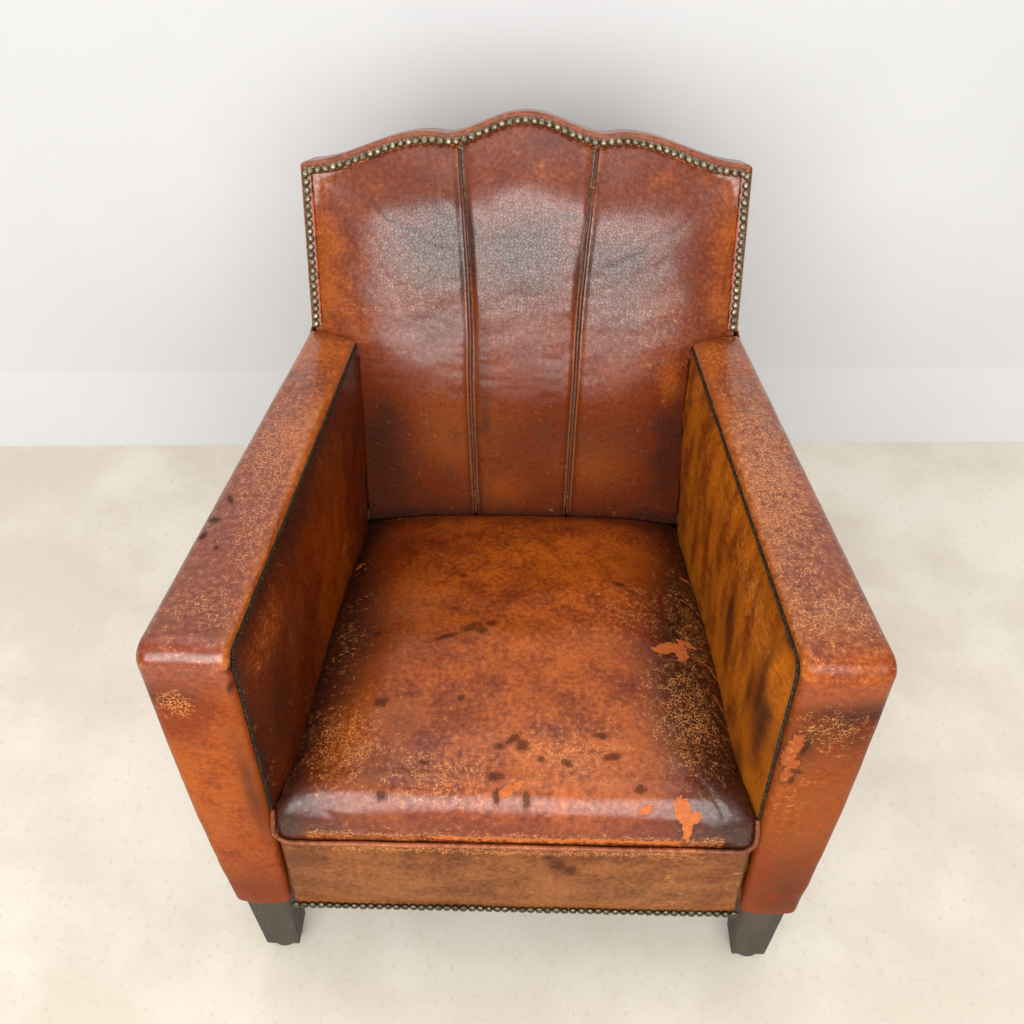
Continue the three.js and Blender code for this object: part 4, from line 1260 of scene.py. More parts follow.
def cord_mesh(name, path, radius, masks, sides=12):
    """A closed cord along a path in millimetres."""
    ahead = np.gradient(path, axis=0)
    ahead /= np.linalg.norm(ahead, axis=1, keepdims=True)
    aside = np.cross(ahead, (0, 0.3, 1.0))
    aside /= np.linalg.norm(aside, axis=1, keepdims=True)
    above = np.cross(aside, ahead)
    turn = np.linspace(0, 2 * np.pi, sides, endpoint=False)
    radius = np.broadcast_to(radius, len(path))[:, None, None]
    rings = path[:, None] + radius * (
        np.cos(turn)[:, None] * aside[:, None] + np.sin(turn)[:, None] * above[:, None]
    )
    count = len(path)
    points = np.concatenate([rings.reshape(-1, 3), path[[0, -1]]]) * MM
    points[:, 1] += FRONT
    index = np.arange(count * sides).reshape(count, sides)
    beside = np.roll(index, -1, axis=1)
    quads = np.stack([index[:-1], beside[:-1], beside[1:], index[1:]], -1).reshape(-1, 4).tolist()
    caps = [(beside[0, j], index[0, j], count * sides) for j in range(sides)]
    caps += [(index[-1, j], beside[-1, j], count * sides + 1) for j in range(sides)]
    mesh = bpy.data.meshes.new(name)
    mesh.from_pydata(points.tolist(), [], quads + [tuple(int(k) for k in cap) for cap in caps])
    solid = bmesh.new()
    solid.from_mesh(mesh)
    bmesh.ops.recalc_face_normals(solid, faces=solid.faces)
    solid.to_mesh(mesh)
    solid.free()
    run = np.concatenate([[0], np.cumsum(np.linalg.norm(np.diff(path, axis=0), axis=1))]) * MM
    cut = np.stack(np.meshgrid(run, turn * 0.003, indexing="ij"), -1).reshape(-1, 2)
    cut = np.concatenate([cut, [[0, 0], [run[-1], 0]]])
    loops = np.zeros(len(mesh.loops), np.int32)
    mesh.loops.foreach_get("vertex_index", loops)
    mesh.uv_layers.new(name="cut").data.foreach_set("uv", cut[loops].ravel())
    for mask in SKIN_MASKS:
        values = np.broadcast_to(
            np.reshape(masks.get(mask, float(mask == "wax")), (-1, 1)), (count, sides)
        ).reshape(-1)
        layer = mesh.attributes.new(mask, "FLOAT", "POINT")
        layer.data.foreach_set("value", np.append(values, [0, 0]).astype(np.float32))
    return mesh


def seat_welt():
    across = np.linspace(-0.992, 0.992, 90)
    x = across * 274
    y = seat_corner(across * 0.995) - 5.8 + 0.5 * wobble(x, 0, 90, 51)
    z = WELT_Z + 2.0 + 0.7 * wobble(x, 0, 160, 52) + 3 * clip((np.abs(across) - 0.93) / 0.07) ** 2
    front = np.stack([x, y, z], -1)
    rise_up = [(276.0, -1, 323), (276.5, 4, 338), (275.5, 11, 352)]
    left = [(-px, py, pz) for px, py, pz in rise_up][::-1]
    path = smooth_path([*left, *front, *rise_up], 3.0)
    x = path[:, 0]
    worn = spots(x, 0, [(-60, 0, 220, 1, 0.5), (195, 0, 30, 1, 0.5)])
    masks = {
        "tan": 0.3 + worn, "dark": 0.4 - 0.4 * worn, "crackle": 0.3, "bare": 0.3 * worn,
        "crinkle": 0.1,
    }
    material = sheepskin(
        "welt leather", (0.13, 0.026, 0.008), (0.32, 0.085, 0.025), scored=0.0, wax=0.4
    )
    finished("welt", cord_mesh("welt", path, 3.0, masks), material, ["seat_welt"])


seat_welt()

# ---- The front border ----
# A plain strip of sheepskin under the welt, over the front rail, drawn tight to both sides and
# nailed along its foot. Boots and the vacuum cleaner have scratched it.


def front_border():
    z = spaced(BODY_BOTTOM + 0.5, WELT_Z - 2.5, 3.6)
    across = np.sin(np.linspace(-1, 1, 150) * np.pi / 2) * 0.25 + np.linspace(-1, 1, 150) * 0.75
    across, z = np.meshgrid(across, z, indexing="xy")
    up = (z - z.min()) / (z.max() - z.min())
    x = across * (front_inner_x(z) - 1.5)
    inset = front_inner_x(z) - 1.5 - np.abs(x)
    swell = 4.2 * np.sin(np.pi * up) ** 0.8 * (1 - np.abs(across) ** 6)
    swell += 0.8 * wobble(x, z * 2, 120, 61) * rise(inset / 30)
    pulled = creased(
        np.abs(x),
        z,
        [[(272, 196), (240, 192), (200, 190)], [(274, 214), (246, 207), (214, 206)]],
        5.0,
    )
    pulled += 0.8 * creased(
        np.abs(x), z, [[(276, 238), (250, 228), (226, 224)], [(270, 178), (230, 178)]], 6.0
    )
    swell -= 1.6 * pulled
    y = -3 - swell + 14 * clip((np.abs(across) - 0.955) / 0.045) ** 2
    face = np.stack([x, y, z], -1)
    tan = 0.52 + 0.16 * (1 - up) + 0.15 * wobble(x / 4, z, 30, 62)
    # Painted shade darkens the two ends, in the corners against the arms; the foot is darker too.
    dark = 0.05 + 0.4 * np.exp(-inset / 8) + 0.25 * np.exp(-(z - 157) / 6)
    crackle = 0.75 * np.exp(-((z - 297) / 7) ** 2) * clip((235 - np.abs(x)) / 40)
    stain = splashes(x, z, [(52, 272, 13, 20, 25), (66, 262, 13, 14, 0), (40, 288, 8, 6, 0)])
    masks = {
        "tan": tan, "dark": dark, "crackle": crackle, "stain": 0.9 * stain, "crinkle": 0.06,
        "wax": 0.3,
    }
    material = sheepskin(
        "border sheepskin", (0.11, 0.031, 0.007), (0.20, 0.066, 0.017), scored=0.38, wax=0.6
    )
    mesh = leather_shell(
        "front_border",
        face.transpose(1, 0, 2),
        (0, 100, 230),
        {k: v.T if np.ndim(v) else v for k, v in masks.items()},
    )
    piece = finished("front_border", mesh, material, ["front_border_leather"])


front_border()

# ---- The inside back ----
# Three panels of sheepskin, sewn together with a piping in each seam, are pulled over the stuffed
# back and nailed round its edge. Years of use have polished and darkened the middle.

BACK_HALF = 299
BACK_DEPTH = 72  # from its face to the outside back
NAILED = 12  # the width of the edge the nails take
BACK_COLUMNS = 57  # of the coarse sheet that the stuffing pushes out
BACK_CORNER = 224
LOWER_HALF = 228


def back_point(x, s, n):
    """x across the chair, s up the raked face from arm level, n out of it."""
    y = BACK_Y + s * math.sin(BACK_RAKE) - n * math.cos(BACK_RAKE)
    z = BACK_Z + s * math.cos(BACK_RAKE) + n * math.sin(BACK_RAKE)
    return np.stack(np.broadcast_arrays(x, y, z), -1)


def back_top(x):
    """The top edge: two low side lobes and a taller middle one."""
    across = np.abs(x)
    crown = 260.5 + 27.5 * np.maximum(0, np.cos(np.pi * np.minimum(across, 103) / 206)) ** 1.7
    dip = 260.5 + 2.5 * np.sin(np.pi / 2 * (across - 103) / 25) ** 2
    lobe = BACK_CORNER + 39 * np.cos(np.pi / 2 * np.minimum(1, (across - 128) / 171)) ** 2
    return np.where(across < 103, crown, np.where(across < 128, dip, lobe))


def back_swell(x, s):
    sides = 1 - np.minimum(1, np.abs(x) / 284) ** 4
    top = rise((back_top(x) - 15 - s) / 110)
    bottom = 0.35 + 0.65 * rise((s + 290) / 130)
    return 28 * sides * top * bottom


def piping_x(s, sign):
    """The pipings spread towards the top, the right one a little less than the left."""
    spread = 74 + 17.5 * np.maximum(0, (s + 20) / 272) ** 1.5 - 6 * clip((-s - 60) / 190)
    return sign * spread + 5 * clip((s + 120) / 370) - 1


BACK_CREASES = [
    [(-205, 178), (-186, 160), (-166, 146), (-127, 120), (-96, 108)],
    [(109, 92), (150, 110), (181, 129), (222, 158), (262, 192)],
    [(-36, 118), (10, 136), (36, 146), (70, 162)],
]
BACK_WRINKLES = [
    [(-161, 126), (-146, 100), (-132, 78)],
    [(-150, 118), (-126, 86)],
    [(-172, 132), (-166, 104)],
    [(-33, 74), (20, 92), (67, 128)],
    [(-40, 44), (6, 56), (50, 60)],
    [(100, 60), (140, 74), (190, 102)],
    [(120, 110), (160, 140)],
    [(-140, 40), (-100, 30)],
    [(-142, 22), (-96, 14)],
    [(-120, 60), (-92, 50)],
    [(-236, 103), (-200, 86), (-170, 66), (-140, 60)],
    [(-253, 44), (-210, 30), (-171, 31), (-120, 50)],
    [(-210, 130), (-180, 96)],
    [(232, -35), (214, -70), (182, -123), (150, -150)],
    [(147, 7), (172, -8), (179, -64)],
    [(110, 20), (150, 30), (210, 24)],
    [(-56, 30), (10, 44)],
    [(-180, -20), (-140, -34)],
    [(-150, -120), (-120, -150)],
]


def inside_back():
    count = BACK_COLUMNS
    columns = np.linspace(-1, 1, count)
    rows = np.linspace(-285, 1, 50)
    lower = [
        back_point(
            columns * LOWER_HALF, s, back_swell(columns * LOWER_HALF, s)
        ) for s in rows[rows < 0]
    ]
    x = np.linspace(-BACK_HALF + NAILED, BACK_HALF - NAILED, count)
    up = np.linspace(0, 1, 26)
    upper = [
        back_point(
            x, 4 + u * (back_top(x) - 18), back_swell(x, 4 + u * (back_top(x) - 18))
        ) for u in up
    ]
    seams = [
        int(
            round((piping_x(60, sign) / (BACK_HALF - NAILED) + 1) / 2 * (count - 1))
        ) for sign in (-1, 1)
    ]
    pushes = {}
    for name, part in (("upper", np.array(upper)), ("lower", np.array(lower))):
        turned = grid_normals(part)[len(part) // 2, 5, 1] > 0
        sheet = part[:, ::-1] if turned else part
        held = held_edges(len(part), count, seams)
        held[0 if name == "upper" else -1, 1:-1] = 0.0  # the two sheets are one where they meet
        push = swollen(sheet, held, 0.002, 5.0, 3.0)
        pushes[name] = push[:, ::-1] if turned else push
    return pushes


def back_panel(name, left, right, pushes, stands_for, paint):
    """One panel between two edges, each a function of the height s."""
    low = spaced(-290, -1, 3.4)
    high = spaced(0, 1000, 13.0, edge=4.0) / 1000
    rows = [(s, None) for s in low] + [(None, u) for u in high]
    span = max(abs(right(0.0) - left(0.0)), abs(right(200.0) - left(200.0)))
    columns = spaced(0, span, 3.4) / span
    face = []
    for s, u in rows:
        level = s if u is None else u * 240
        start, end = left(level), right(level)
        x = start + (end - start) * columns
        height = np.full_like(x, s) if u is None else 1 + u * (back_top(x) - 7)
        face.append(np.stack([x, height], -1))
    face = np.array(face)
    x, s = face[..., 0], face[..., 1]
    row = clip((s - 4) / np.maximum(back_top(x) - 18, 1)) * (len(pushes["upper"]) - 1)
    column = clip((x / (BACK_HALF - NAILED) + 1) / 2) * (BACK_COLUMNS - 1)
    above = sampled(pushes["upper"], row, column)
    row = clip((s + 285) / 286) * (len(pushes["lower"]) - 1)
    column = clip((x / LOWER_HALF + 1) / 2) * (BACK_COLUMNS - 1)
    below = sampled(pushes["lower"], row, column)
    share = clip((s + 30) / 60)
    out = above * share + below * (1 - share)
    from_seam = np.minimum(np.abs(x - piping_x(s, -1)), np.abs(x - piping_x(s, 1)))
    from_edge = np.minimum(BACK_HALF - NAILED - np.abs(x), back_top(x) - NAILED - s)
    middle = rise(from_seam / 16) * rise(from_edge / 22)
    out = out * middle
    out += (0.8 * wobble(x, s, 120, 71) + 0.2 * wobble(x, s, 50, 72)) * middle
    out -= 2.6 * np.exp(-((from_seam - 3) / 6) ** 2)
    # The nails pull small scallops into the edge.
    edge_run = np.where(back_top(x) - s < BACK_HALF - np.abs(x), x, s)
    out += 0.5 * np.sin(2 * np.pi * edge_run / 21) * np.exp(-np.maximum(from_edge - 4, 0) / 9)
    bent_x, bent_s = x + 4 * wobble(x, s, 45, 73), s + 5 * wobble(x, s, 45, 74)
    deep = creased(bent_x, bent_s, BACK_CREASES, 3.2)
    shallow = creased(bent_x, bent_s, BACK_WRINKLES, 2.8)
    out += -0.42 * deep - 0.16 * shallow
    points = back_point(x, s, back_swell(x, s) + LEATHER + out)
    material, masks = paint(x, s, deep, shallow, from_seam)
    middle_x, middle_s = np.abs(x[:-1, :-1] + x[1:, 1:]) / 2, (s[:-1, :-1] + s[1:, 1:]) / 2
    mesh = leather_shell(
        name, points, (0, 900, 600), masks, keep=(middle_s > -34) | (middle_x < 232)
    )
    piece = finished(name, mesh, material, stands_for)


def sampled(table, i, j):
    """Values of a grid between its points."""
    i0 = np.clip(i.astype(int), 0, table.shape[0] - 2)
    j0 = np.clip(j.astype(int), 0, table.shape[1] - 2)
    f, g = i - i0, j - j0
    f, g = f * f * (3 - 2 * f), g * g * (3 - 2 * g)
    near = table[i0, j0] * (1 - g) + table[i0, j0 + 1] * g
    far = table[i0 + 1, j0] * (1 - g) + table[i0 + 1, j0 + 1] * g
    return near * (1 - f) + far * f


def back_paint(x, s, deep, shallow, from_seam):
    # Darkened by hands in the upper middle and in patches lower down; painted shade is added along
    # the foot further on.
    handled_and_shade = spots(
        x,
        s,
        [
            (-110, 120, 90, 80, 0.75), (0, 110, 90, 80, 0.72), (120, 95, 90, 70, 0.62),
            (190, 110, 50, 60, 0.4),
        ],
    )
    handled_and_shade = np.maximum(
        handled_and_shade,
        spots(
            x,
            s,
            [
                (-120, 10, 60, 60, 0.5), (30, 250, 40, 16, 0.5), (-125, 205, 60, 16, 0.35),
                (130, 40, 70, 60, 0.45),
            ],
        ),
    )
    handled_and_shade += spots(
        x,
        s,
        [
            (-54, -30, 9, 100, 0.35), (40, -60, 30, 60, 0.22), (212, -153, 30, 90, 0.35),
            (-205, -150, 40, 130, 0.3),
        ],
    )
    # Painted shade along the foot of the back, where it meets the seat.
    handled_and_shade += 0.5 * np.exp(-(s + 285) / 22) * (s < 0)
    # Painted shade in the seam grooves beside the pipings and in the deep creases.
    dark = 0.06 + handled_and_shade + 0.45 * np.exp(-((from_seam - 3) / 5) ** 2) + 0.35 * deep
    rubbed = np.exp(
        -((BACK_HALF - 18 - np.abs(x) + 12 * wobble(x, s, 70, 75)) / 42) ** 2
    ) * clip((s + 20) / 50)
    rubbed *= 0.75 + 0.4 * wobble(x, s, 90, 76)
    tan = 0.27 + 0.5 * rubbed + spots(
        x, s, [(-105, -157, 50, 50, 0.35), (-33, -235, 50, 40, 0.4), (110, -200, 70, 40, 0.3)]
    )
    tan = np.maximum(
        tan,
        spots(
            x,
            s,
            [
                (30, 215, 60, 26, 0.5), (190, 205, 60, 20, 0.5), (205, -60, 24, 60, 0.8),
                (-120, 190, 50, 14, 0.45),
            ],
        ),
    )
    # Darker towards the seat with painted shade, and less dark where the edges are rubbed.
    dark += 0.44 * clip((-s - 20) / 120) - 0.25 * rubbed
    line = np.exp(-(((from_seam - 3.6) / 1.5) ** 2))
    tan += 0.8 * line
    dark -= 0.6 * line
    crackle = 0.10 + 0.3 * shallow + spots(x, s, [(190, 20, 60, 50, 0.25), (-180, 60, 60, 60, 0.2)])
    crinkle = 0.3 + 0.9 * spots(
        x, s, [(-130, 110, 100, 90, 1.0), (0, 90, 100, 100, 1.0), (130, 90, 110, 100, 0.9)]
    )
    wax = 0.04 + 0.96 * rise((s + 100) / 150)
    masks = {"tan": tan, "dark": dark, "crackle": crackle, "crinkle": crinkle, "wax": wax}
    return BACK_SKIN, masks


BACK_SKIN = sheepskin(
    "inside back sheepskin", (0.15, 0.024, 0.004), (0.29, 0.062, 0.005),
    black=(0.036, 0.011, 0.007), scored=0.22, grain=66.0, wax=1.0,
)
PIPING_GAP = 3.2
PANEL_EDGE = BACK_HALF - 6
back_pushes = inside_back()


back_panel(
    "left_inside_back",
    lambda s: -PANEL_EDGE,
    lambda s: float(piping_x(s, -1)) - PIPING_GAP,
    back_pushes,
    ["left_inside_back_leather"],
    back_paint,
)
back_panel(
    "centre_inside_back",
    lambda s: float(piping_x(s, -1)) + PIPING_GAP,
    lambda s: float(piping_x(s, 1)) - PIPING_GAP,
    back_pushes,
    ["centre_inside_back_leather"],
    back_paint,
)
back_panel(
    "right_inside_back",
    lambda s: float(piping_x(s, 1)) + PIPING_GAP,
    lambda s: PANEL_EDGE,
    back_pushes,
    ["right_inside_back_leather"],
    back_paint,
)

# ---- The pipings of the back ----
# A thin cord in dark leather is sewn into each of the two seams. Rubbing has bared it near the top.

PIPING_SKIN = sheepskin(
    "piping leather", (0.075, 0.026, 0.018), (0.20, 0.055, 0.022), black=(0.018, 0.009, 0.007),
    scored=0.0, wax=0.5,
)
for side, sign in (("left", -1), ("right", 1)):
    s = np.linspace(-274, 240, 150)
    x = piping_x(s, sign) + 0.4 * wobble(s, 0, 60, 81 + sign)
    path = back_point(x, s, back_swell(x, s) + 1.0 + 0.3 * wobble(s, 0, 35, 83))
    rubbed = spots(s, 0, [(190, 0, 26, 1, 0.55)]) if sign > 0 else spots(
        s, 0, [(-240, 0, 30, 1, 0.25)]
    )
    masks = {
        "tan": 0.1 + rubbed, "dark": 0.25, "crackle": 0.15 + 0.4 * rubbed, "bare": 0.75 * rubbed,
        "crinkle": 0.2,
    }
    mesh = cord_mesh(side + "_piping", path, 2.5, masks)
    finished(side + "_piping", mesh, PIPING_SKIN, [side + "_back_piping"])

# ---- The edge band and the outside back ----
# A strip of sheepskin wraps the back's thickness. Its cut edge lies under the nails, scalloped by
# them. The outside back is one plain panel, sewn in behind.


def back_outline(lowest):
    """From the right arm up, over the top and down to the left arm: (x, s) when drawn in by d."""
    sides = np.linspace(0, 1, 70)[:-1]
    tops = np.linspace(1, -1, 260)
    places = []
    for up in sides:
        places.append(lambda d, up=up: (BACK_HALF - d, lowest + (BACK_CORNER - d - lowest) * up))
    for across in tops:
        places.append(lambda d, a=across: (a * (BACK_HALF - d), float(back_top(a * BACK_HALF)) - d))
    for up in sides[::-1]:
        places.append(lambda d, up=up: (-(BACK_HALF - d), lowest + (BACK_CORNER - d - lowest) * up))
    return places


def eased_corner(x, s, radius=9.0):
    """Rounds the back's two upper corners a little."""
    over_x = np.abs(x) - (BACK_HALF - radius)
    over_s = s - (back_top(np.sign(x) * BACK_HALF) - radius)
    both = (over_x > 0) & (over_s > 0)
    reach = np.hypot(over_x, over_s)
    keep = np.where(both & (reach > radius), radius / np.maximum(reach, 1e-6), 1.0)
    x = np.where(both, np.sign(x) * (BACK_HALF - radius + over_x * keep), x)
    s = np.where(both, back_top(np.sign(x) * BACK_HALF) - radius + over_s * keep, s)
    return x, s


def edge_band():
    section = [(15.5, 4.6), (14.0, 5.9), (9.0, 6.2), (5.2, 5.7), (2.4, 4.2), (0.7, 1.6), (0, -2.5)]
    section += [(0, n) for n in np.linspace(-8, -66, 12)] + [(0.6, -68.6), (2.2, -69.6)]
    face = []
    run = 0.0
    last = None
    for place in back_outline(3):
        here = np.array(place(0))
        run += 0 if last is None else np.linalg.norm(here - last)
        last = here
        scallop = 0.7 * abs(math.sin(math.pi * run / 10.5))
        row = []
        for k, (d, n) in enumerate(section):
            x, s = place(d + (scallop if k < 2 else 0))
            x, s = eased_corner(np.array(float(x)), np.array(float(s)))
            lumps = 0.6 * math.sin(run / 17 + n / 9) * (n < 0)
            row.append(back_point(x, s, n + lumps * 0.3))
        face.append(row)
    face = np.array(face)
    rows, columns = face.shape[:2]
    depth = np.array([n for _, n in section])
    tan = np.broadcast_to(0.45 + 0.1 * (depth > -3), (rows, columns))
    cut = np.broadcast_to(np.where(np.arange(columns) < 2, 0.75, 0.0), (rows, columns))
    dark = np.broadcast_to(
        np.where((np.arange(columns) > 1) & (np.arange(columns) < 4), 0.45, 0.12), (rows, columns)
    )
    masks = {"tan": tan, "dark": dark, "crackle": 0.25, "bare": cut * 0.7, "crinkle": 0.1}
    material = sheepskin(
        "edge band sheepskin", (0.15, 0.028, 0.008), (0.29, 0.070, 0.014), pale=(0.6, 0.26, 0.16),
        suede=(0.42, 0.10, 0.04), wax=0.8,
    )
    mesh = leather_shell("edge_band", face, (0, 700, 700), masks)
    finished("edge_band", mesh, material, ["back_edge_band"])


def outside_back():
    lowest = (BODY_BOTTOM + 0.3 - BACK_Z + BACK_DEPTH * math.sin(BACK_RAKE)) / math.cos(BACK_RAKE)
    across = spaced(-1, 1, 0.02, edge=0.004)
    up = spaced(0, 1, 0.012, edge=0.002)
    across, up = np.meshgrid(across, up, indexing="ij")
    x = across * (BACK_HALF - 2.5)
    s = lowest + up * (back_top(across * BACK_HALF) - 2.5 - lowest)
    x, s = eased_corner(x, s)
    inset = np.minimum(BACK_HALF - np.abs(x), np.minimum(s - lowest, back_top(x) - s))
    belly = 2.2 * rise(inset / 60) + 0.8 * wobble(x, s, 150, 91) * rise(inset / 30)
    face = back_point(x, s, -BACK_DEPTH - belly)
    tan = 0.42 + 0.3 * np.exp(-inset / 20)
    dark = 0.18 + 0.35 * np.exp(-(s - lowest) / 40) + spots(
        x, s, [(60, 150, 90, 60, 0.2), (-120, -60, 100, 120, 0.2)]
    )
    masks = {"tan": tan, "dark": dark, "crackle": 0.18, "crinkle": 0.2}
    material = sheepskin(
        "outside back sheepskin", (0.16, 0.032, 0.007), (0.29, 0.072, 0.011), scored=0.3, wax=0.25
    )
    mesh = leather_shell("outside_back", face, (0, 500, 500), masks)
    finished("outside_back", mesh, material, ["outside_back_leather"])


edge_band()
outside_back()

# ---- The outside arms ----
# One flat panel each, stretched over the frame from the strip's turned edge to the floor rail and
# round to the back. They are scratched and darker along their feet, and carry painted shade along
# their top, under the strip's turned edge.


def outside_arm(side, sign):
    def rear(z):
        return face_y(z) + BACK_DEPTH / math.cos(BACK_RAKE) - 3

    along = np.concatenate([spaced(0, 1, 0.012, edge=0.002), [1.02, 1.25, 1.5, 1.75, 2.0]])
    face = []
    for a in along:
        if a <= 1:
            y = 21 + a * (ARM_LENGTH - 21)
            top = arm_top(y) - 17
        else:
            y = ARM_LENGTH + 1.2 + (a - 1) * (rear(590.0) - ARM_LENGTH - 1.2)
            top = BACK_Z + 2.4 - (y - BACK_Y + 4) * math.tan(BACK_RAKE) - 14 * clip((632 - y) / 12)
        up = spaced(0, 1, 0.014, edge=0.002)
        z = BODY_BOTTOM + 0.3 + (top - BODY_BOTTOM - 0.3) * up
        place = 21 + (y - 21) / (rear(590.0) - 21) * (rear(z) - 21)
        place = np.where(up > 0.999, y, place)
        face.append(np.stack([sign * outer_x(place, z), place, z], -1))
    face = np.array(face)
    y, z = face[..., 1], face[..., 2]
    inset = np.minimum(np.minimum(z - BODY_BOTTOM, arm_top(y) - 17 - z), y - 21)
    out = 1.6 * rise(inset / 50) + 0.8 * wobble(y, z, 140, 95 + sign) * rise(inset / 25)
    tuck = 2.2 * np.exp(-np.maximum(arm_top(y) - 17 - z, 0) / 2.0) * (y < ARM_LENGTH)
    face[..., 0] += sign * (out - tuck)
    tan = 0.45 + 0.25 * wobble(y, z, 200, 97)
    # Darker towards the foot, and painted shade along the top, under the strip's turned edge.
    dark = 0.15 + 0.3 * np.exp(-(z - BODY_BOTTOM) / 30) + 0.3 * np.exp(
        -np.abs(arm_top(y) - 17 - z) / 6
    )
    masks = {"tan": tan, "dark": dark, "crackle": 0.2, "crinkle": 0.15}
    material = sheepskin(
        side + " outside arm sheepskin", (0.17, 0.034, 0.007), (0.30, 0.075, 0.011), scored=0.3,
        wax=0.3,
    )
    mesh = leather_shell(side + "_outside_arm", face, (0, 300, 400), masks)
    finished(side + "_outside_arm", mesh, material, [side + "_outside_arm_leather"])


outside_arm("left", -1)
outside_arm("right", 1)

# ---- Domed nails ----
# Antiqued brass nails with heads 10.5 mm across, driven so close that they touch: one row round the
# back from arm to arm, and one along the foot of the front border.

NAIL = 10.5


def old_brass(name, brown, yellow):
    material, tree, shader, place = new_material(name)
    rub = noise(tree, place, 190.0, 3.0).outputs[0]
    grime = noise(tree, place, 700.0, 2.0).outputs[0]
    colour = mix(tree, ramp(tree, rub, 0.35, 0.7), brown, yellow)
    colour = mix(tree, ramp(tree, grime, 0.5, 0.7, 0.0, 0.6), colour, (0.05, 0.036, 0.02, 1))
    tree.links.new(colour, shader.inputs["Base Color"])
    tree.links.new(ramp(tree, rub, 0.3, 0.7, 0.5, 0.34), shader.inputs["Roughness"])
    shader.inputs["Metallic"].default_value = 1.0
    bump(tree, shader, grime, 0.00015)
    return material


def nail_tree():
    tree = bpy.data.node_groups.new("row of domed nails", "GeometryNodeTree")
    for name, kind in (
        ("Places", "NodeSocketGeometry"), ("Head width", "NodeSocketFloat"),
        ("Dome", "NodeSocketFloat"), ("Unevenness", "NodeSocketFloat"),
        ("Finish", "NodeSocketMaterial"),
    ):
        tree.interface.new_socket(name=name, in_out="INPUT", socket_type=kind)
    tree.interface.new_socket(name="Nails", in_out="OUTPUT", socket_type="NodeSocketGeometry")
    given = node(tree, "NodeGroupInput").outputs
    radius = math_node(tree, "MULTIPLY", given["Head width"], 0.5)
    ball = node(
        tree, "GeometryNodeMeshUVSphere", {"Segments": 12, "Rings": 7, "Radius": radius}
    ).outputs[0]
    flat = node(tree, "ShaderNodeCombineXYZ", {0: 1.0, 1: 1.0, 2: given["Dome"]}).outputs[0]
    head = node(tree, "GeometryNodeTransform", {"Geometry": ball, "Scale": flat}).outputs[0]
    smooth = node(tree, "GeometryNodeSetShadeSmooth", {"Geometry": head}).outputs[0]
    facing = node(
        tree, "GeometryNodeInputNamedAttribute", {"Name": "facing"}, data_type="FLOAT_VECTOR"
    ).outputs[0]
    turn = node(tree, "FunctionNodeAlignRotationToVector", {"Vector": facing}, axis="Z").outputs[0]
    low = math_node(tree, "SUBTRACT", 1.0, given["Unevenness"])
    size = node(
        tree, "FunctionNodeRandomValue", {2: low, 3: 1.0, "Seed": 5}, data_type="FLOAT"
    ).outputs[1]
    inputs = {"Points": given["Places"], "Instance": smooth, "Rotation": turn, "Scale": size}
    driven = node(tree, "GeometryNodeInstanceOnPoints", inputs).outputs[0]
    real = node(tree, "GeometryNodeRealizeInstances", {"Geometry": driven}).outputs[0]
    done = node(
        tree, "GeometryNodeSetMaterial", {"Geometry": real, "Material": given["Finish"]}
    ).outputs[0]
    node(tree, "NodeGroupOutput", {"Nails": done})
    return tree


def grown(name, places, vectors, tree, inputs, material, stands_for):
    """Runs a tree on points with their own directions and makes the result a plain piece."""
    mesh = bpy.data.meshes.new(name)
    points = np.array(places) * MM
    points[:, 1] += FRONT
    mesh.from_pydata(points.tolist(), [], [])
    for attribute, values in vectors.items():
        layer = mesh.attributes.new(attribute, "FLOAT_VECTOR", "POINT")
        layer.data.foreach_set("vector", np.array(values, np.float32).ravel())
    seed = bpy.data.objects.new(name + "_places", mesh)
    bpy.context.scene.collection.objects.link(seed)
    grow = seed.modifiers.new("grow", "NODES")
    grow.node_group = tree
    for item in tree.interface.items_tree:
        if item.item_type == "SOCKET" and item.in_out == "INPUT" and item.name in inputs:
            grow[item.identifier] = inputs[item.name]
    bpy.context.view_layer.update()
    plain = bpy.data.meshes.new_from_object(
        seed.evaluated_get(bpy.context.evaluated_depsgraph_get())
    )
    plain.name = name
    bpy.data.objects.remove(seed)
    return finished(name, plain, material, stands_for)


def back_nail_places():
    """Head centres on a line inside the edge, evenly spaced along it, with the way each faces."""
    side_inset, top_inset = 7.8, 11.2
    line = []
    for place in back_outline(8):
        x, s = place(top_inset)
        line.append((x * (BACK_HALF - side_inset) / (BACK_HALF - top_inset), s))
    line = np.array(line)
    run = np.concatenate([[0], np.cumsum(np.linalg.norm(np.diff(line, axis=0), axis=1))])
    count = round(run[-1] / NAIL)
    wanted = np.linspace(0, run[-1], count + 1)
    x, s = np.interp(wanted, run, line[:, 0]), np.interp(wanted, run, line[:, 1])
    drift = np.random.default_rng(9)
    x = x + drift.normal(0, 0.25, len(x))
    s = s + drift.normal(0, 0.25, len(s))
    lean = np.stack(
        [
            drift.normal(0, 0.05, len(x)),
            np.full(len(x), -math.cos(BACK_RAKE)),
            np.full(len(x), math.sin(BACK_RAKE)) + drift.normal(0, 0.05, len(x)),
        ],
        -1,
    )
    return back_point(x, s, 7.2), lean


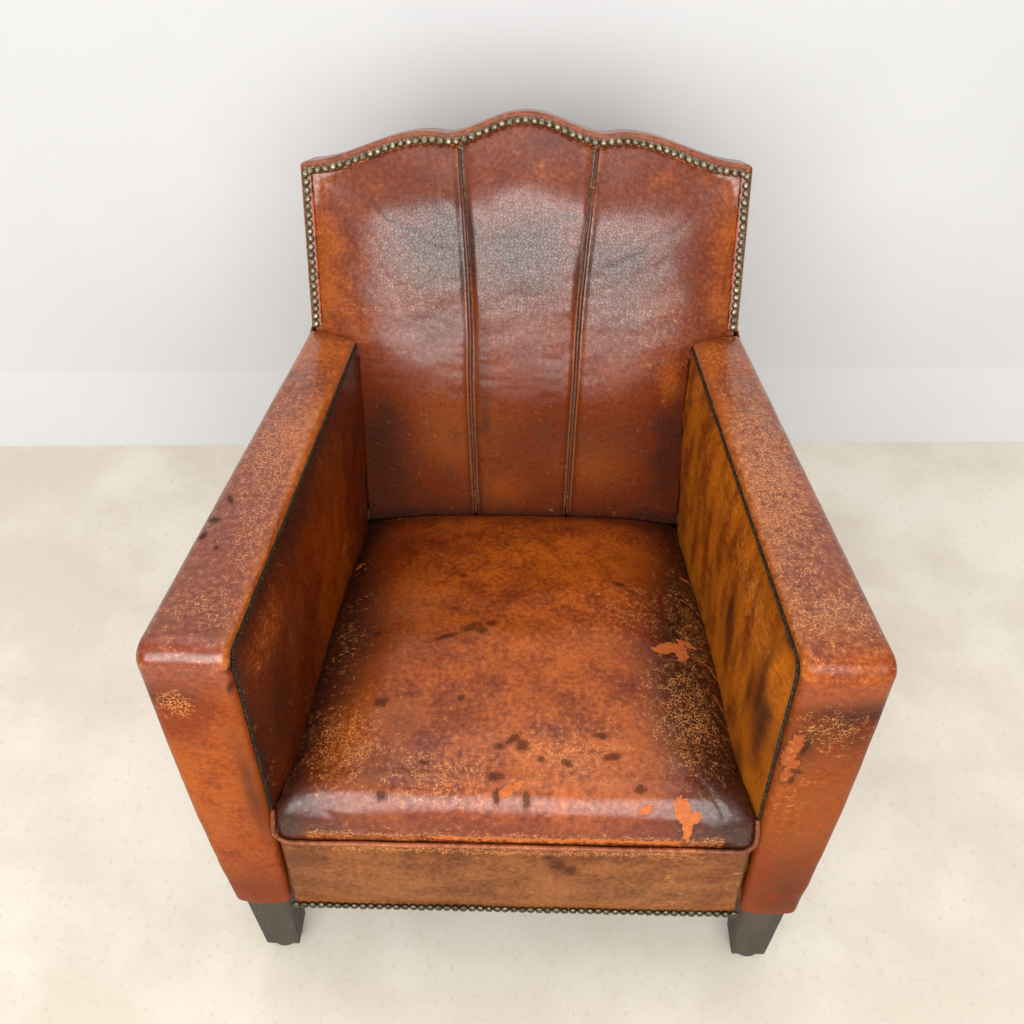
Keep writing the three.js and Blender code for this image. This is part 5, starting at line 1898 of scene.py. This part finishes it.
NAIL_TREE = nail_tree()
BRASS = old_brass("antiqued brass", (0.115, 0.09, 0.055, 1), (0.35, 0.29, 0.195, 1))
DULL_BRASS = old_brass("dull brass", (0.058, 0.046, 0.029, 1), (0.17, 0.142, 0.092, 1))
nail_sizes = {"Head width": 11.5 * MM, "Dome": 0.6, "Unevenness": 0.05}
places, facing = back_nail_places()
grown(
    "back_nails", places, {"facing": facing}, NAIL_TREE, {**nail_sizes, "Finish": BRASS}, BRASS,
    ["back_nail_row"],
)
drift = np.random.default_rng(10)
places = [
    (
        x + drift.normal(0, 0.2), -5.8, BODY_BOTTOM + 5.4 + drift.normal(0, 0.3)
    ) for x in np.linspace(-273, 273, 53)
]
facing = [(drift.normal(0, 0.06), -1, drift.normal(0, 0.06)) for _ in places]
grown(
    "front_nails", places, {"facing": facing}, NAIL_TREE, {**nail_sizes, "Finish": DULL_BRASS},
    DULL_BRASS, ["front_nail_row"],
)

# ---- Stuffing ----
# Curled hair and cotton wadding under the back's leather. It is hidden, and only has to fill the
# leather without showing through it. The seat's and the arms' pads are hidden with their leather.


def hair():
    material, tree, shader, place = new_material("curled hair and wadding")
    curls = noise(tree, place, 240.0, 5.0, 0.7).outputs[0]
    colour = mix(
        tree, ramp(tree, curls, 0.35, 0.65), (0.09, 0.065, 0.045, 1), (0.42, 0.36, 0.28, 1)
    )
    tree.links.new(colour, shader.inputs["Base Color"])
    shader.inputs["Roughness"].default_value = 0.95
    bump(tree, shader, curls, 0.003)
    return material


refinish(["back_pad"], hair())

# ---- The hand stitching of the arms ----
# A thick waxed thread joins each strip to its inside arm, over and over, along the top, round the
# front corner and down to the seat. It has gone black-green with polish.


def stitch_tree():
    tree = bpy.data.node_groups.new("over-and-over stitches", "GeometryNodeTree")
    for name, kind in (
        ("Places", "NodeSocketGeometry"), ("Length", "NodeSocketFloat"),
        ("Thread", "NodeSocketFloat"), ("Finish", "NodeSocketMaterial"),
    ):
        tree.interface.new_socket(name=name, in_out="INPUT", socket_type=kind)
    tree.interface.new_socket(name="Stitches", in_out="OUTPUT", socket_type="NodeSocketGeometry")
    given = node(tree, "NodeGroupInput").outputs
    half = math_node(tree, "MULTIPLY", given["Thread"], 0.5)
    ball = node(
        tree, "GeometryNodeMeshUVSphere", {"Segments": 8, "Rings": 6, "Radius": half}
    ).outputs[0]
    ratio = math_node(tree, "DIVIDE", given["Length"], given["Thread"])
    long = node(tree, "ShaderNodeCombineXYZ", {0: 1.0, 1: 1.0, 2: ratio}).outputs[0]
    bead = node(tree, "GeometryNodeTransform", {"Geometry": ball, "Scale": long}).outputs[0]
    smooth = node(tree, "GeometryNodeSetShadeSmooth", {"Geometry": bead}).outputs[0]
    facing = node(
        tree, "GeometryNodeInputNamedAttribute", {"Name": "lies"}, data_type="FLOAT_VECTOR"
    ).outputs[0]
    turn = node(tree, "FunctionNodeAlignRotationToVector", {"Vector": facing}, axis="Z").outputs[0]
    size = node(
        tree, "FunctionNodeRandomValue", {2: 0.82, 3: 1.1, "Seed": 3}, data_type="FLOAT"
    ).outputs[1]
    inputs = {"Points": given["Places"], "Instance": smooth, "Rotation": turn, "Scale": size}
    sewn = node(tree, "GeometryNodeInstanceOnPoints", inputs).outputs[0]
    real = node(tree, "GeometryNodeRealizeInstances", {"Geometry": sewn}).outputs[0]
    done = node(
        tree, "GeometryNodeSetMaterial", {"Geometry": real, "Material": given["Finish"]}
    ).outputs[0]
    node(tree, "NodeGroupOutput", {"Stitches": done})
    return tree


def waxed_thread():
    material, tree, shader, place = new_material("waxed thread")
    wax = noise(tree, place, 420.0, 3.0).outputs[0]
    colour = mix(tree, ramp(tree, wax, 0.5, 0.68), (0.010, 0.009, 0.006, 1), (0.07, 0.06, 0.036, 1))
    tree.links.new(colour, shader.inputs["Base Color"])
    tree.links.new(ramp(tree, wax, 0.3, 0.7, 0.5, 0.7), shader.inputs["Roughness"])
    shader.inputs["Specular IOR Level"].default_value = 0.2
    bump(tree, shader, wax, 0.0003)
    return material


STITCH_TREE = stitch_tree()
THREAD = waxed_thread()


def arm_seam(sign):
    """Points down the seam from the back to the seat."""
    top = [(seam_x(y), y, arm_top(y) - 13.2) for y in np.linspace(598, ARM_ROLL + 8, 130)]
    corner = []
    for angle in np.linspace(np.pi / 2, np.pi, 16)[1:-1]:
        reach = ARM_ROLL - 12.5
        corner.append(
            (seam_x(12), ARM_ROLL + reach * math.cos(angle), ROLL_CENTRE + reach * math.sin(angle))
        )
    down = [(float(front_inner_x(z)) - 0.2, 12.5, z) for z in np.linspace(ROLL_CENTRE - 6, 318, 60)]
    path = smooth_path([*top, *corner, *down], 1.5)
    path[:, 0] = sign * (path[:, 0] - 1.2)
    return path


for side, sign in (("left", -1), ("right", 1)):
    path = arm_seam(sign)
    run = np.concatenate([[0], np.cumsum(np.linalg.norm(np.diff(path, axis=0), axis=1))])
    at = np.arange(2, run[-1] - 1, 4.1)
    centre = np.stack([np.interp(at, run, path[:, k]) for k in range(3)], -1)
    ahead = np.gradient(centre, axis=0)
    ahead /= np.linalg.norm(ahead, axis=1, keepdims=True)
    across = np.cross(ahead, (sign, 0, 0))
    across /= np.linalg.norm(across, axis=1, keepdims=True)
    lies = across * 0.8 + ahead * 0.62
    sizes = {"Length": 6.2 * MM, "Thread": 3.3 * MM, "Finish": THREAD}
    grown(
        side + "_arm_stitching", centre, {"lies": lies}, STITCH_TREE, sizes, THREAD, [],
    )
    core = cord_mesh(side + "_arm_seam_cord", path[::2], 1.5, {})
    finished(side + "_arm_seam_cord", core, THREAD, [])
